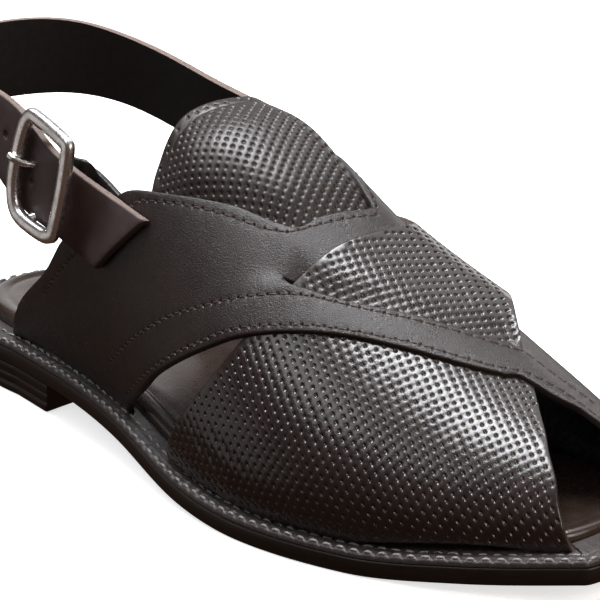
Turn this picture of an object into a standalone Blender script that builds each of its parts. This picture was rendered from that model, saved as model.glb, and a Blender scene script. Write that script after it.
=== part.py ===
"""Right-foot crossed-strap sandal, modelled in metres as separate parts.

+X runs from the heel to the toe, +Y to the inner side of the foot and +Z up. The floor is z = 0 and the
origin lies under the middle of the heel. Tables and sizes are in millimetres, with x measured from the
back of the heel.
"""
import math

import bmesh
import bpy
import numpy as np
from mathutils import Vector

MM = 0.001
LENGTH = 290.0
HEEL_CENTRE = 34.0
HEEL_ROUND = 50.0
HEEL_BREAST = 71.0
HEEL_HEIGHT = 10.2
HEEL_LIFT = 3.0
HEEL_STEP = 0.6
TOE_CORNER = 287.0
TOE_MIDDLE = 5.0
HEEL_POWER = 2.3
OUTSOLE_THICK = 5.3
WELT_THICK = 2.0
INSOLE_RISE = 4.6
INSOLE_ROLL = 2.6
INSOLE_DISH = 1.2
GAP = 0.3
LEATHER = 2.2
STRAP_ONE_THICK = 2.4
STRAP_ONE_FOOT = 0.15
BITE = 0.8
STRAP_ONE_LIFT = 8.5
SLIT_ENDS = (-0.42, 0.055)
FAR_FORK = 0.36
TONGUE_THICK = 4.0
TONGUE_PUFF = 6.3
TONGUE_CLEAR = 0.6
ANKLE_THICK = 2.4
ANKLE_CLEAR = 0.5
ANCHOR_THICK = 1.6
ANCHOR_WIDTH = 19.0
ANCHOR_DOWN = 1.0
ANCHOR_CLEAR = 0.8
WIRE = 1.7
BAR = 1.5
FRAME_LENGTH = 17.0
FRAME_HEIGHT = 31.5
FRAME_DOWN = 0.75
FRAME_ROUND = 3.5
FRAME_BULGE = 7.0
FRAME_OUT = 3.6
BAR_IN = 6.0
PRONG = 1.1
PRONG_UP = 3.0
BUCKLE_CENTRE = (90.8, -42.6, 85.9)
BUCKLE_ALONG = (0.985, 0.0, -0.15)
BUCKLE_ACROSS = (0.15, 0.14, 0.98)


class Table:
    """Rows of named columns, read along the first column with a natural cubic spline."""

    def __init__(self, columns, rows):
        data = np.array(rows, float)
        self.key = data[:, 0]
        self.values = dict(zip(columns[1:], data[:, 1:].T))
        self.bends = {name: self.second_slopes(column) for name, column in self.values.items()}

    def second_slopes(self, column):
        step = np.diff(self.key)
        count = len(self.key)
        matrix = np.eye(count)
        right = np.zeros(count)
        for i in range(1, count - 1):
            matrix[i, i - 1:i + 2] = step[i - 1], 2 * (step[i - 1] + step[i]), step[i]
            right[i] = 6 * ((column[i + 1] - column[i]) / step[i] - (column[i] - column[i - 1]) / step[i - 1])
        return np.linalg.solve(matrix, right)

    def at(self, name, where):
        where = np.clip(np.asarray(where, float), self.key[0], self.key[-1])
        i = np.clip(np.searchsorted(self.key, where) - 1, 0, len(self.key) - 2)
        step = self.key[i + 1] - self.key[i]
        b = (where - self.key[i]) / step
        a = 1 - b
        column, bend = self.values[name], self.bends[name]
        curve = (a ** 3 - a) * bend[i] + (b ** 3 - b) * bend[i + 1]
        return a * column[i] + b * column[i + 1] + curve * step ** 2 / 6


class Edges(Table):
    """Rows of named edges, read with local slopes so that a sharp turn stays in its own rows."""

    def at(self, name, where):
        column = self.values[name]
        step = np.diff(self.key)
        rate = np.diff(column) / step
        slope = np.concatenate([rate[:1], np.zeros(len(rate) - 1), rate[-1:]])
        same = rate[:-1] * rate[1:] > 0
        low = np.minimum(np.abs(rate[:-1]), np.abs(rate[1:]))
        mean = (rate[:-1] * step[1:] + rate[1:] * step[:-1]) / (step[:-1] + step[1:])
        slope[1:-1] = np.where(same, np.sign(mean) * np.minimum(np.abs(mean), 3 * low), 0)
        where = np.clip(np.asarray(where, float), self.key[0], self.key[-1])
        i = np.clip(np.searchsorted(self.key, where) - 1, 0, len(self.key) - 2)
        s = (where - self.key[i]) / step[i]
        start = (1 + 2 * s) * (1 - s) ** 2 * column[i] + s * (1 - s) ** 2 * step[i] * slope[i]
        end = s * s * (3 - 2 * s) * column[i + 1] + s * s * (s - 1) * step[i] * slope[i + 1]
        return start + end


# Plan of the sole: outer and inner side of the edge, and the breadth of the welt inside it.
SOLE = Table(("x", "outer", "inner", "welt"), (
    (50, -33.5, 35.0, 8.6),
    (80, -37.8, 36.0, 8.6),
    (115, -44.3, 33.5, 8.7),
    (150, -52.4, 36.0, 8.8),
    (185, -55.4, 43.0, 9.0),
    (210, -51.9, 46.5, 9.3),
    (235, -44.2, 46.0, 9.8),
    (260, -33.5, 40.5, 11.0),
    (287, -17.5, 27.5, 12.2),
))

# Underside of the outsole: seat, arch, tread on the floor and toe spring.
PROFILE = Edges(("x", "z"), (
    (0, 10.5), (74, 10.5), (115, 8.2), (155, 1.7), (186, 0), (222, 0), (255, 3.3), (290, 7.6),
))

# Last: ridge line, swell of the sides over the feather edge and roundness of each half section.
LAST = Table(("x", "ridge_y", "ridge_z", "swell_outer", "swell_inner", "round_outer", "round_inner"), (
    (30, 0, 150, 3.0, 3.0, 3.2, 3.2),
    (70, 2, 140, 3.0, 3.0, 3.0, 3.0),
    (110, 5, 117, 3.5, 3.0, 2.6, 2.6),
    (150, 9, 96.5, 4.0, 3.0, 2.1, 2.2),
    (185, 11, 73.5, 4.0, 3.0, 2.1, 2.1),
    (210, 12, 59.5, 4.0, 3.0, 2.2, 2.1),
    (235, 12, 47.5, 3.5, 3.0, 2.3, 2.2),
    (260, 11, 38, 2.5, 2.5, 2.4, 2.3),
    (288, 8, 28, 1.5, 1.5, 2.4, 2.4),
))

# Plain strap over the last, from the outer feather edge (-1) over the ridge (0) to the inner one (1):
# collar, back and front of the slit that strap one passes, and the stitched front edge.
PLAIN = Edges(("girth", "collar", "slit_back", "slit_front", "front"), (
    (-1.00, 44.0, 103.0, 106.0, 117.5),
    (-0.94, 66.0, 110.5, 113.5, 128.0),
    (-0.84, 83.0, 126.0, 129.0, 141.5),
    (-0.70, 102.0, 141.0, 144.0, 158.0),
    (-0.56, 115.3, 157.0, 160.0, 175.0),
    (-0.48, 130.8, 166.5, 169.5, 184.0),
    (-0.40, 144.8, 175.5, 178.5, 199.0),
    (-0.34, 156.0, 181.5, 184.5, 210.0),
    (-0.26, 166.0, 192.0, 195.0, 222.0),
    (-0.18, 170.0, 202.5, 205.5, 231.5),
    (-0.10, 172.7, 212.0, 215.0, 239.0),
    (-0.05, 174.0, 217.5, 220.5, 244.0),
    (-0.03, 174.5, 219.5, 222.5, 251.0),
    (0.01, 174.8, 223.0, 226.0, 264.5),
    (0.05, 169.0, 226.5, 229.5, 269.0),
    (0.15, 158.5, 215.0, 227.0, 272.5),
    (0.25, 149.0, 201.0, 219.0, 274.5),
    (0.36, 139.0, 186.0, 210.0, 276.0),
    (0.56, 115.3, 163.0, 204.5, 277.5),
    (0.70, 102.0, 147.0, 202.0, 278.0),
    (0.84, 83.0, 131.0, 200.0, 278.0),
    (0.94, 66.0, 122.0, 198.5, 278.0),
    (1.00, 44.0, 117.0, 198.0, 278.0),
))

# Strap one, from the outer feather edge to the inner one.
STRAP_ONE = Edges(("girth", "back", "front"), (
    (-1.00, 143.5, 278.5),
    (-0.90, 152.0, 277.2),
    (-0.76, 163.2, 275.5),
    (-0.60, 171.5, 272.5),
    (-0.45, 175.5, 268.7),
    (-0.30, 177.7, 262.5),
    (-0.19, 178.6, 257.0),
    (-0.04, 181.0, 244.0),
    (0.03, 181.7, 231.5),
    (0.07, 181.8, 227.0),
    (0.12, 181.5, 221.0),
    (0.18, 180.5, 215.2),
    (0.25, 177.5, 211.5),
    (0.32, 172.0, 208.0),
    (0.50, 155.0, 200.0),
    (0.70, 135.0, 190.0),
    (0.85, 120.0, 182.0),
    (1.00, 106.0, 176.0),
))

# Tongue pad under the crossing.
TONGUE = Edges(("girth", "back", "front"), (
    (-0.54, 120.0, 133.0),
    (-0.50, 118.8, 144.0),
    (-0.44, 118.2, 156.0),
    (-0.36, 118.2, 170.0),
    (-0.26, 119.0, 184.0),
    (-0.12, 122.5, 189.0),
    (0.00, 124.5, 190.0),
    (0.12, 122.5, 189.0),
    (0.26, 120.5, 184.0),
    (0.36, 120.5, 170.0),
    (0.44, 120.5, 156.0),
    (0.50, 120.8, 144.0),
    (0.54, 121.5, 133.0),
))

# Ankle strap between the quarters: upper and lower edge of each section.
ANKLE = (
    ((100.0, 39.0, 86.8), (88.0, 42.5, 64.5)),
    ((74.0, 40.5, 92.6), (64.0, 43.0, 69.3)),
    ((50.0, 39.5, 97.4), (44.0, 41.0, 73.6)),
    ((30.0, 35.5, 102.0), (26.0, 36.5, 78.0)),
    ((14.0, 26.5, 106.0), (11.5, 26.8, 80.6)),
    ((3.5, 13.0, 107.3), (2.5, 13.0, 81.2)),
    ((0.0, -2.0, 107.3), (-0.5, -2.0, 81.4)),
    ((4.5, -16.5, 107.3), (4.0, -17.0, 81.6)),
    ((18.0, -29.0, 107.4), (17.5, -30.0, 82.0)),
    ((38.0, -36.5, 107.4), (37.5, -38.0, 82.6)),
    ((60.0, -39.5, 106.8), (57.5, -41.5, 82.6)),
    ((76.4, -40.5, 102.3), (70.0, -43.5, 78.6)),
    ((85.8, -41.0, 96.4), (81.0, -44.1, 74.6)),
    ((96.5, -41.0, 91.2), (92.2, -43.6, 70.4)),
)
# Ends of the ankle strap outside the quarters and of the short strap inside: x and z of both edges.
ANKLE_FAR_END = (
    ((127.0, 80.5), (109.0, 58.5)),
    ((120.0, 82.5), (103.0, 60.0)),
    ((113.0, 84.0), (97.0, 62.0)),
)
ANKLE_TAIL = (
    ((112.5, 84.0), (100.4, 64.2)),
    ((119.0, 81.5), (104.2, 62.2)),
    ((125.6, 78.9), (108.0, 60.2)),
)
ANCHOR_END = (
    ((99.5, 88.5), (94.0, 70.6)),
    ((107.0, 85.0), (101.0, 67.4)),
    ((113.0, 82.4), (107.5, 64.8)),
    ((119.0, 79.6), (114.0, 62.2)),
)


def material(name, colour, roughness, metallic=0.0):
    made = bpy.data.materials.new(name)
    made.use_nodes = True
    shader = made.node_tree.nodes["Principled BSDF"]
    shader.inputs["Base Color"].default_value = (*colour, 1.0)
    shader.inputs["Roughness"].default_value = roughness
    shader.inputs["Metallic"].default_value = metallic
    return made


def solid(name, points, faces, look, group):
    """Closed mesh object from points in millimetres, with all faces turned outwards."""
    mesh = bpy.data.meshes.new(name)
    mesh.from_pydata([tuple(point) for point in np.asarray(points) * MM], [], faces)
    work = bmesh.new()
    work.from_mesh(mesh)
    bmesh.ops.triangulate(work, faces=work.faces[:])
    bmesh.ops.recalc_face_normals(work, faces=work.faces[:])
    work.to_mesh(mesh)
    work.free()
    made = bpy.data.objects.new(name, mesh)
    made.location.x = -HEEL_CENTRE * MM
    mesh.materials.append(look)
    group.objects.link(made)
    return made


def boolean(target, other, kind):
    step = target.modifiers.new(other.name, "BOOLEAN")
    step.operation = kind
    step.solver = "EXACT"
    step.object = other


def smooth_step(value):
    value = np.clip(value, 0, 1)
    return value * value * (3 - 2 * value)


def sole_side(x, side, inset, heel_inset=None, toe_inset=None):
    """y of the sole's edge at x, moved in by inset, closed by a round heel and a bowed square toe."""
    heel_inset = inset if heel_inset is None else heel_inset
    toe_inset = inset if toe_inset is None else toe_inset
    sign = 1 if side == "inner" else -1
    corner = TOE_CORNER - toe_inset
    edge = SOLE.at(side, np.clip(x, HEEL_ROUND, corner)) - sign * inset
    heel = np.clip((HEEL_ROUND - x) / (HEEL_ROUND - heel_inset), 0, 1)
    toe = np.clip((x - corner) / (LENGTH - TOE_CORNER), 0, 1)
    edge = TOE_MIDDLE + (edge - TOE_MIDDLE) * np.sqrt(1 - toe ** 2)
    return edge * (1 - heel ** HEEL_POWER) ** (1 / HEEL_POWER)


def sole_stations(inset, front=None):
    """x of the ribs of the sole, closer together round the heel and the toe."""
    turn = np.radians(np.linspace(7, 90, 10))
    heel = HEEL_ROUND - (HEEL_ROUND - inset) * np.cos(turn)
    if front is not None:
        return np.concatenate([heel, np.linspace(HEEL_ROUND, front, 5)[1:]])
    corner = TOE_CORNER - inset
    middle = np.linspace(HEEL_ROUND, corner, 26)[1:-1]
    toe = corner + (LENGTH - TOE_CORNER) * np.sin(np.radians(np.linspace(0, 78, 5)))
    return np.concatenate([heel, middle, toe])


def sole_loop(inset, height, front=None, flat=False):
    """Closed loop of the sole's edge: along the outer side to the toe and back along the inner side."""
    x = sole_stations(inset, front)
    base = np.zeros_like(x) if flat else PROFILE.at("z", x)
    outer = np.stack([x, sole_side(x, "outer", inset), base + height], 1)
    inner = np.stack([x, sole_side(x, "inner", inset), base + height], 1)
    return np.concatenate([outer, inner[::-1]])


def seat_loop(extra, height):
    """Loop of the insole's edge, which keeps the welt's own breadth along the sole."""
    start = float(SOLE.at("welt", HEEL_ROUND)) + extra
    stop = float(SOLE.at("welt", TOE_CORNER)) + extra
    x = sole_stations(start)
    x = start + (x - start) * (LENGTH - stop - start) / (LENGTH - 2 * start)
    inset = SOLE.at("welt", x) + extra
    outer = np.stack([x, sole_side(x, "outer", inset, start, stop)], 1)
    inner = np.stack([x, sole_side(x, "inner", inset, start, stop)], 1)
    plan = np.concatenate([outer, inner[::-1]])
    return np.column_stack([plan, PROFILE.at("z", plan[:, 0]) + height])


def stack(name, loops, look, group):
    """Solid between loops of the sole, closed below the first and above the last by ribs across."""
    count = len(loops[0])
    faces = []
    for level in range(len(loops) - 1):
        low, high = level * count, (level + 1) * count
        for i in range(count):
            j = (i + 1) % count
            faces.append((low + i, low + j, high + j, high + i))
    for start in (0, (len(loops) - 1) * count):
        for i in range(count // 2 - 1):
            across = count - 1 - i
            faces.append((start + i, start + i + 1, start + across - 1, start + across))
    return solid(name, np.concatenate(loops), faces, look, group)


def ring(name, loops, look, group):
    """Solid whose section is the closed polygon that runs through the given loops."""
    count = len(loops[0])
    faces = []
    for level in range(len(loops)):
        low, high = level * count, (level + 1) % len(loops) * count
        for i in range(count):
            j = (i + 1) % count
            faces.append((low + i, low + j, high + j, high + i))
    return solid(name, np.concatenate(loops), faces, look, group)


def last(x, girth):
    """Point of the last at x and girth: -1 outer feather edge, 0 ridge, 1 inner feather edge."""
    x, girth = np.broadcast_arrays(np.asarray(x, float), np.asarray(girth, float))
    outer = girth < 0
    angle = (1 - np.abs(girth)) * math.pi / 2
    power = 2 / np.where(outer, LAST.at("round_outer", x), LAST.at("round_inner", x))
    side, up = np.cos(angle) ** power, np.clip(np.sin(angle), 0, 1) ** power
    inset = SOLE.at("welt", x) - 0.8
    feather = np.where(outer, SOLE.at("outer", x) + inset, SOLE.at("inner", x) - inset)
    swell = np.where(outer, -LAST.at("swell_outer", x), LAST.at("swell_inner", x))
    ridge_y = LAST.at("ridge_y", x)
    base = feather_height(x)
    y = ridge_y + (feather - ridge_y) * side + swell * np.sin(math.pi * up ** 0.55)
    z = base + (LAST.at("ridge_z", x) - base) * up
    return np.stack([x, y, z], -1)


def feather_height(x):
    return PROFILE.at("z", x) + OUTSOLE_THICK + WELT_THICK + GAP


def last_normal(x, girth):
    girth = np.asarray(girth, float)
    along = last(np.asarray(x) + 0.5, girth) - last(np.asarray(x) - 0.5, girth)
    around = last(x, np.clip(girth + 0.004, -1, 1)) - last(x, np.clip(girth - 0.004, -1, 1))
    normal = np.cross(along, around)
    return normal / np.linalg.norm(normal, axis=-1, keepdims=True)


def over_last(x, girth, offset, foot=0.0):
    """Point at a distance outside the last, kept above the welt by the given foot."""
    point = last(x, girth) + last_normal(x, girth) * np.asarray(offset, float)[..., None]
    point[..., 2] = np.maximum(point[..., 2], feather_height(point[..., 0]) + foot)
    return point


def on_wall(x, z, side, offset):
    """Point outside the last at x and z, on the outer (-1) or inner (1) wall."""
    low, high = 0.0, 1.0
    for _ in range(40):
        girth = (low + high) / 2
        point = over_last(np.array(x), np.array(side * girth), np.array(offset))
        if point[2] > z:
            low = girth
        else:
            high = girth
    return point


def plate(name, x, girth, offset, thick, keep, look, group, foot=0.0):
    """Wall of the given thickness over a grid on the last; cells that are not kept stay open."""
    rows, columns = x.shape
    outside = over_last(x, girth, offset + thick, foot).reshape(-1, 3)
    inside = over_last(x, girth, offset, foot).reshape(-1, 3)
    shift = rows * columns
    faces = []
    sides = {}
    for i in range(rows - 1):
        for j in range(columns - 1):
            if not keep[i, j]:
                continue
            a, b = i * columns + j, i * columns + j + 1
            c, d = b + columns, a + columns
            faces.append((a, b, c, d))
            faces.append((d + shift, c + shift, b + shift, a + shift))
            for edge in ((a, b), (b, c), (c, d), (d, a)):
                if edge[::-1] in sides:
                    del sides[edge[::-1]]
                else:
                    sides[edge] = True
    for start, end in sides:
        faces.append((start, end, end + shift, start + shift))
    used = sorted({corner for face in faces for corner in face})
    place = {corner: i for i, corner in enumerate(used)}
    points = np.concatenate([outside, inside])[used]
    return solid(name, points, [tuple(place[corner] for corner in face) for face in faces], look, group)


def columns_between(left, right, count):
    share = np.linspace(0, 1, count + 1)
    return left[:, None] + (right - left)[:, None] * share


def plain_strap(look, group):
    """Quarters, instep and front panel in one wall, raised where the band lies over strap one."""
    stops = (-1, *SLIT_ENDS, FAR_FORK, 1)
    spans = [np.linspace(a, b, count)[1:] for a, b, count in zip(stops, stops[1:], (16, 15, 9, 13))]
    girth = np.concatenate([[-1], *spans])
    edges = [PLAIN.at(name, girth) for name in ("collar", "slit_back", "slit_front", "front")]
    back = columns_between(edges[0], edges[1], 7)
    slit = columns_between(edges[1], edges[2], 2)
    band = columns_between(edges[2], edges[3], 4)
    x = np.concatenate([back, slit[:, 1:], band[:, 1:]], 1)
    around = np.repeat(girth[:, None], x.shape[1], 1)
    rise = smooth_step((around + 0.70) / 0.12) * (1 - smooth_step(around / 0.14))
    rise *= smooth_step((x - STRAP_ONE.at("back", around) + 14) / 12)
    arm = 1 - smooth_step((around + 0.50) / 0.10)
    share = np.concatenate([np.zeros(8), [0.5], np.ones(5)])[None, :]
    offset = (STRAP_ONE_THICK - BITE) * rise * (share + (1 - share) * arm)
    keep = np.ones((len(girth) - 1, x.shape[1] - 1), bool)
    middle = (girth[:-1] + girth[1:]) / 2
    gone = ((middle > SLIT_ENDS[0]) & (middle < SLIT_ENDS[1])) | (middle > FAR_FORK)
    keep[gone, 7:9] = False
    return plate("upper", x, around, offset, LEATHER, keep, look, group)


def strap_one(look, group):
    """Strap from the outer front, under the band, out of the slit and over the instep to the inner side."""
    spans = (np.linspace(-1, -0.44, 13), np.linspace(-0.4, 0.4, 27), np.linspace(0.45, 1, 12))
    girth = np.concatenate(spans)
    back, front = STRAP_ONE.at("back", girth), STRAP_ONE.at("front", girth)
    x = columns_between(back, front, 14)
    around = np.repeat(girth[:, None], x.shape[1], 1)
    slit_back, slit_front = PLAIN.at("slit_back", around), PLAIN.at("slit_front", around)
    over = 1 - smooth_step((x - slit_back + 9) / (slit_front - slit_back + 9))
    beyond = smooth_step((around - SLIT_ENDS[1] + 0.02) / 0.05)
    over = np.maximum(over, beyond) * smooth_step((around - SLIT_ENDS[0]) / 0.05)
    free = np.maximum(smooth_step((slit_back - x) / 14), smooth_step((around - SLIT_ENDS[1]) / 0.12))
    stand = smooth_step((around + 0.05) / 0.32) * (1 - smooth_step((around - 0.45) / 0.4))
    lift = STRAP_ONE_LIFT * free * stand * np.clip((x - 184) / 36, 0, 1) ** 1.3
    offset = (LEATHER - BITE) * over + lift
    keep = np.ones((len(girth) - 1, x.shape[1] - 1), bool)
    return plate("strap_one", x, around, offset, STRAP_ONE_THICK, keep, look, group, STRAP_ONE_FOOT)


def tongue(look, group):
    """Domed pad inside the collar, thinner towards its edges."""
    girth = np.linspace(TONGUE.key[0], TONGUE.key[-1], 19)
    x = columns_between(TONGUE.at("back", girth), TONGUE.at("front", girth), 11)
    around = np.repeat(girth[:, None], x.shape[1], 1)
    across = 1 - (np.abs(girth) / TONGUE.key[-1])[:, None] ** 6
    along = 1 - np.abs(np.linspace(-1, 1, 12))[None, :] ** 6
    thick = TONGUE_THICK * (0.45 + 0.55 * np.minimum(across, along))
    bare = smooth_step((PLAIN.at("collar", around) - x - 2) / 13)
    edge = smooth_step((x - TONGUE.at("back", around)) / 14)
    puff = TONGUE_PUFF * bare * (edge - 0.35)
    keep = np.ones((len(girth) - 1, 11), bool)
    return plate("tongue", x, around, puff - TONGUE_CLEAR - thick, thick, keep, look, group)


def ribbon(name, lines, outward, thick, look, group):
    """Strap of even thickness through lines that run along it, from its upper edge to its lower one."""
    half = outward * thick / 2
    sections = np.stack([line + half for line in lines] + [line - half for line in lines[::-1]], 1)
    count, around = sections.shape[:2]
    faces = []
    for start in (0, (count - 1) * around):
        for k in range(len(lines) - 1):
            faces.append((start + k, start + k + 1, start + around - 2 - k, start + around - 1 - k))
    for i in range(count - 1):
        low, high = i * around, (i + 1) * around
        for k in range(around):
            m = (k + 1) % around
            faces.append((low + k, high + k, high + m, low + m))
    return solid(name, sections.reshape(-1, 3), faces, look, group)


def curve_through(points, per_span):
    """Smooth line through the points, with a fixed number of steps in each span."""
    points = np.asarray(points, float)
    reach = np.concatenate([[0], np.cumsum(np.linalg.norm(np.diff(points, axis=0), axis=1))])
    line = Table(("reach", "x", "y", "z"), np.column_stack([reach, points]))
    where = np.concatenate([np.linspace(a, b, per_span, endpoint=False) for a, b in zip(reach, reach[1:])])
    where = np.append(where, reach[-1])
    return np.stack([line.at(axis, where) for axis in "xyz"], 1)


def outward_of(upper, lower):
    """Unit normals of the strap between two edge lines, away from the inside of its loop."""
    along = np.gradient((upper + lower) / 2, axis=0)
    normal = np.cross(along, upper - lower)
    return normal / np.linalg.norm(normal, axis=1)[:, None]


def ankle_strap(look, group):
    off = LEATHER + ANKLE_CLEAR + ANKLE_THICK / 2
    rows = [wall_row(row, 1, off) for row in ANKLE_FAR_END]
    rows += [(row[0], np.mean(row, axis=0), row[1]) for row in ANKLE]
    rows += [wall_row(row, -1, off) for row in ANKLE_TAIL]
    lines = [curve_through([row[k] for row in rows], 3) for k in range(3)]
    return ribbon("ankle_strap", lines, outward_of(lines[0], lines[2]), ANKLE_THICK, look, group)


def wall_row(row, side, off):
    """Upper, middle and lower point of a strap section that lies on a quarter."""
    places = (row[0], np.mean(row, axis=0), row[1])
    return [on_wall(x, z, side, off) for x, z in places]


def buckle_axes():
    along = Vector(BUCKLE_ALONG).normalized()
    across = Vector(BUCKLE_ACROSS)
    across = (across - along * across.dot(along)).normalized()
    return along, across, along.cross(across)


def in_buckle(along, across, out):
    """Point in millimetres at a place counted from the middle of the buckle."""
    axes = buckle_axes()
    return np.array(Vector(BUCKLE_CENTRE) + axes[0] * along + axes[1] * across + axes[2] * out)


def tube(name, points, radius, look, group, closed=False):
    """Round wire along the points."""
    data = bpy.data.curves.new(name, "CURVE")
    data.dimensions = "3D"
    data.bevel_depth = radius * MM
    data.bevel_resolution = 2
    data.use_fill_caps = True
    line = data.splines.new("POLY")
    line.points.add(len(points) - 1)
    for knot, point in zip(line.points, points):
        knot.co = (*(np.asarray(point) * MM), 1.0)
    line.use_cyclic_u = closed
    made = bpy.data.objects.new(name, data)
    made.location.x = -HEEL_CENTRE * MM
    data.materials.append(look)
    group.objects.link(made)
    return made


def as_mesh(curve, group):
    """Mesh object in place of a curve object, so that it can be joined with others."""
    mesh = bpy.data.meshes.new_from_object(curve.evaluated_get(bpy.context.evaluated_depsgraph_get()))
    made = bpy.data.objects.new(curve.name, mesh)
    made.location = curve.location
    name = curve.name
    bpy.data.objects.remove(curve)
    made.name = name
    work = bmesh.new()
    work.from_mesh(mesh)
    bmesh.ops.remove_doubles(work, verts=work.verts[:], dist=0.00001)
    bmesh.ops.recalc_face_normals(work, faces=work.faces[:])
    work.to_mesh(mesh)
    work.free()
    group.objects.link(made)
    return made


def frame_line():
    """Rim of the buckle: straight bar over the tail, short sides and a bowed back."""
    half_l, half_h = FRAME_LENGTH / 2, FRAME_HEIGHT / 2
    points = []
    for side, start in ((1, 90), (-1, 0)):
        for step in range(0, 91, 18):
            turn = math.radians(start - step)
            points.append((half_l - FRAME_ROUND + FRAME_ROUND * math.cos(turn),
                           side * (half_h - FRAME_ROUND) + FRAME_ROUND * math.sin(turn)))
    for step in range(0, 181, 12):
        turn = math.radians(step)
        points.append((-half_l - FRAME_BULGE * math.sin(turn) ** 0.8, -half_h * math.cos(turn)))
    return [in_buckle(along, across - FRAME_DOWN, FRAME_OUT) for along, across in points]


def buckle(look, group, cutters):
    frame = as_mesh(tube("buckle_frame", frame_line(), WIRE, look, group, True), group)
    top, low = FRAME_HEIGHT / 2 - FRAME_DOWN, -FRAME_HEIGHT / 2 - FRAME_DOWN
    upper_leg = ((top, FRAME_OUT), (top, 2 - BAR_IN), (top - 2, -BAR_IN))
    lower_leg = ((low + 2, -BAR_IN), (low, 2 - BAR_IN), (low, FRAME_OUT))
    bar_line = [in_buckle(0, across, out) for across, out in upper_leg + lower_leg]
    bar = as_mesh(tube("buckle_bar", bar_line, BAR, look, cutters), cutters)
    boolean(frame, bar, "UNION")
    rest = FRAME_OUT + WIRE + PRONG + GAP
    back = FRAME_LENGTH / 2 + FRAME_BULGE
    rise = ((-6.4, -0.5), (-8.2, 1.2), (-10.5, 3.8))
    over_rim = ((-back + 2.4, rest), (-back + 0.2, rest), (-back - 1.2, rest - 0.3))
    prong_line = [in_buckle(along, PRONG_UP, out) for along, out in rise + over_rim]
    return as_mesh(tube("buckle_prong", curve_through(prong_line, 4), PRONG, look, group), group)


def buckle_anchor(look, group):
    """Short strap folded round the bar and sewn inside the outer quarter."""
    turn = BAR + GAP + ANCHOR_THICK / 2
    fold = [(3.0, turn), (1.5, turn)]
    fold += [(-turn * math.sin(a), turn * math.cos(a)) for a in np.radians(np.arange(0, 181, 20))]
    half = ANCHOR_WIDTH / 2
    rows = []
    for along, out in fold:
        rows.append([in_buckle(along, across - ANCHOR_DOWN, out - BAR_IN) for across in (half, 0, -half)])
    rows += [wall_row(row, -1, -ANCHOR_CLEAR - ANCHOR_THICK / 2) for row in ANCHOR_END]
    lines = [np.array([row[k] for row in rows]) for k in range(3)]
    return ribbon("buckle_anchor", lines, outward_of(lines[0], lines[2]), ANCHOR_THICK, look, group)


def heel_block(look, group):
    """Stacked heel, a little narrower than the sole, with the line of its top piece."""
    groove = 0.8 + HEEL_STEP
    levels = ((1.2, 0.0), (0.8, HEEL_LIFT), (groove, HEEL_LIFT + 0.3), (groove, HEEL_LIFT + 0.8),
              (0.8, HEEL_LIFT + 1.1), (0.5, HEEL_HEIGHT))
    loops = [sole_loop(inset, z, HEEL_BREAST - 0.25 * (HEEL_HEIGHT - z), True) for inset, z in levels]
    return stack("heel", loops, look, group)


def prong_hole(look, group):
    """Round cutter through the ankle strap where the prong passes."""
    low, high = in_buckle(-4.4, PRONG_UP, -4.0), in_buckle(-10.4, PRONG_UP, 4.5)
    return as_mesh(tube("prong_hole", [low, high], 2.4, look, group), group)


for old in list(bpy.data.objects):
    bpy.data.objects.remove(old)

parts = bpy.data.collections.new("crossed_strap_sandal")
cutters = bpy.data.collections.new("cutters")
bpy.context.scene.collection.children.link(parts)
bpy.context.scene.collection.children.link(cutters)

sole_look = material("sole_leather", (0.022, 0.013, 0.010), 0.45)
heel_look = material("heel_leather", (0.020, 0.012, 0.009), 0.45)
welt_look = material("welt_leather", (0.045, 0.033, 0.029), 0.5)
insole_look = material("insole_leather", (0.060, 0.040, 0.034), 0.3)
upper_look = material("upper_leather", (0.030, 0.020, 0.018), 0.42)
tongue_look = material("tongue_leather", (0.028, 0.019, 0.017), 0.35)
strap_look = material("strap_leather", (0.034, 0.022, 0.020), 0.5)
anchor_look = material("anchor_leather", (0.020, 0.015, 0.014), 0.5)
frame_look = material("buckle_metal", (0.72, 0.71, 0.69), 0.18, 1.0)
prong_look = material("prong_metal", (0.72, 0.71, 0.69), 0.2, 1.0)
hidden_look = material("cutter", (0.5, 0.5, 0.5), 0.5)

welt_low = OUTSOLE_THICK + GAP
welt_high = OUTSOLE_THICK + WELT_THICK
stack("outsole", [sole_loop(0.6, 0.0), sole_loop(0.0, 0.8), sole_loop(0.0, OUTSOLE_THICK)], sole_look, parts)
heel_block(heel_look, parts)
seat = seat_loop(0.0, welt_low)
ring("welt", [sole_loop(0.2, welt_low), sole_loop(0.2, welt_high), seat + (0, 0, welt_high - welt_low), seat],
     welt_look, parts)
roll = [(GAP, welt_low), (GAP, welt_high + INSOLE_RISE - INSOLE_ROLL)]
for step in (30, 60, 90):
    angle = math.radians(step)
    roll.append((GAP + INSOLE_ROLL * (1 - math.cos(angle)),
                 welt_high + INSOLE_RISE - INSOLE_ROLL * (1 - math.sin(angle))))
roll.append((GAP + 4 * INSOLE_ROLL, welt_high + INSOLE_RISE - INSOLE_DISH))
stack("insole", [seat_loop(extra, z) for extra, z in roll], insole_look, parts)
upper = plain_strap(upper_look, parts)
boolean(upper, strap_one(upper_look, cutters), "UNION")
tongue(tongue_look, parts)
strap = ankle_strap(strap_look, parts)
boolean(strap, prong_hole(hidden_look, cutters), "DIFFERENCE")
buckle_anchor(anchor_look, parts)
buckle(frame_look, parts, cutters).data.materials[0] = prong_look

for cutter in cutters.objects:
    cutter.hide_render = True
    cutter.display_type = "WIRE"
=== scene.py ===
"""Looks of the right-foot crossed-strap sandal: leather, stitching, welt, sole, buckle, floor and light.

Tables and sizes are in millimetres with x measured from the back of the heel, as in the part's source.
"""
import math

import bmesh
import bpy
import numpy as np
from mathutils import Matrix, Vector
from mathutils.geometry import delaunay_2d_cdt


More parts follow.
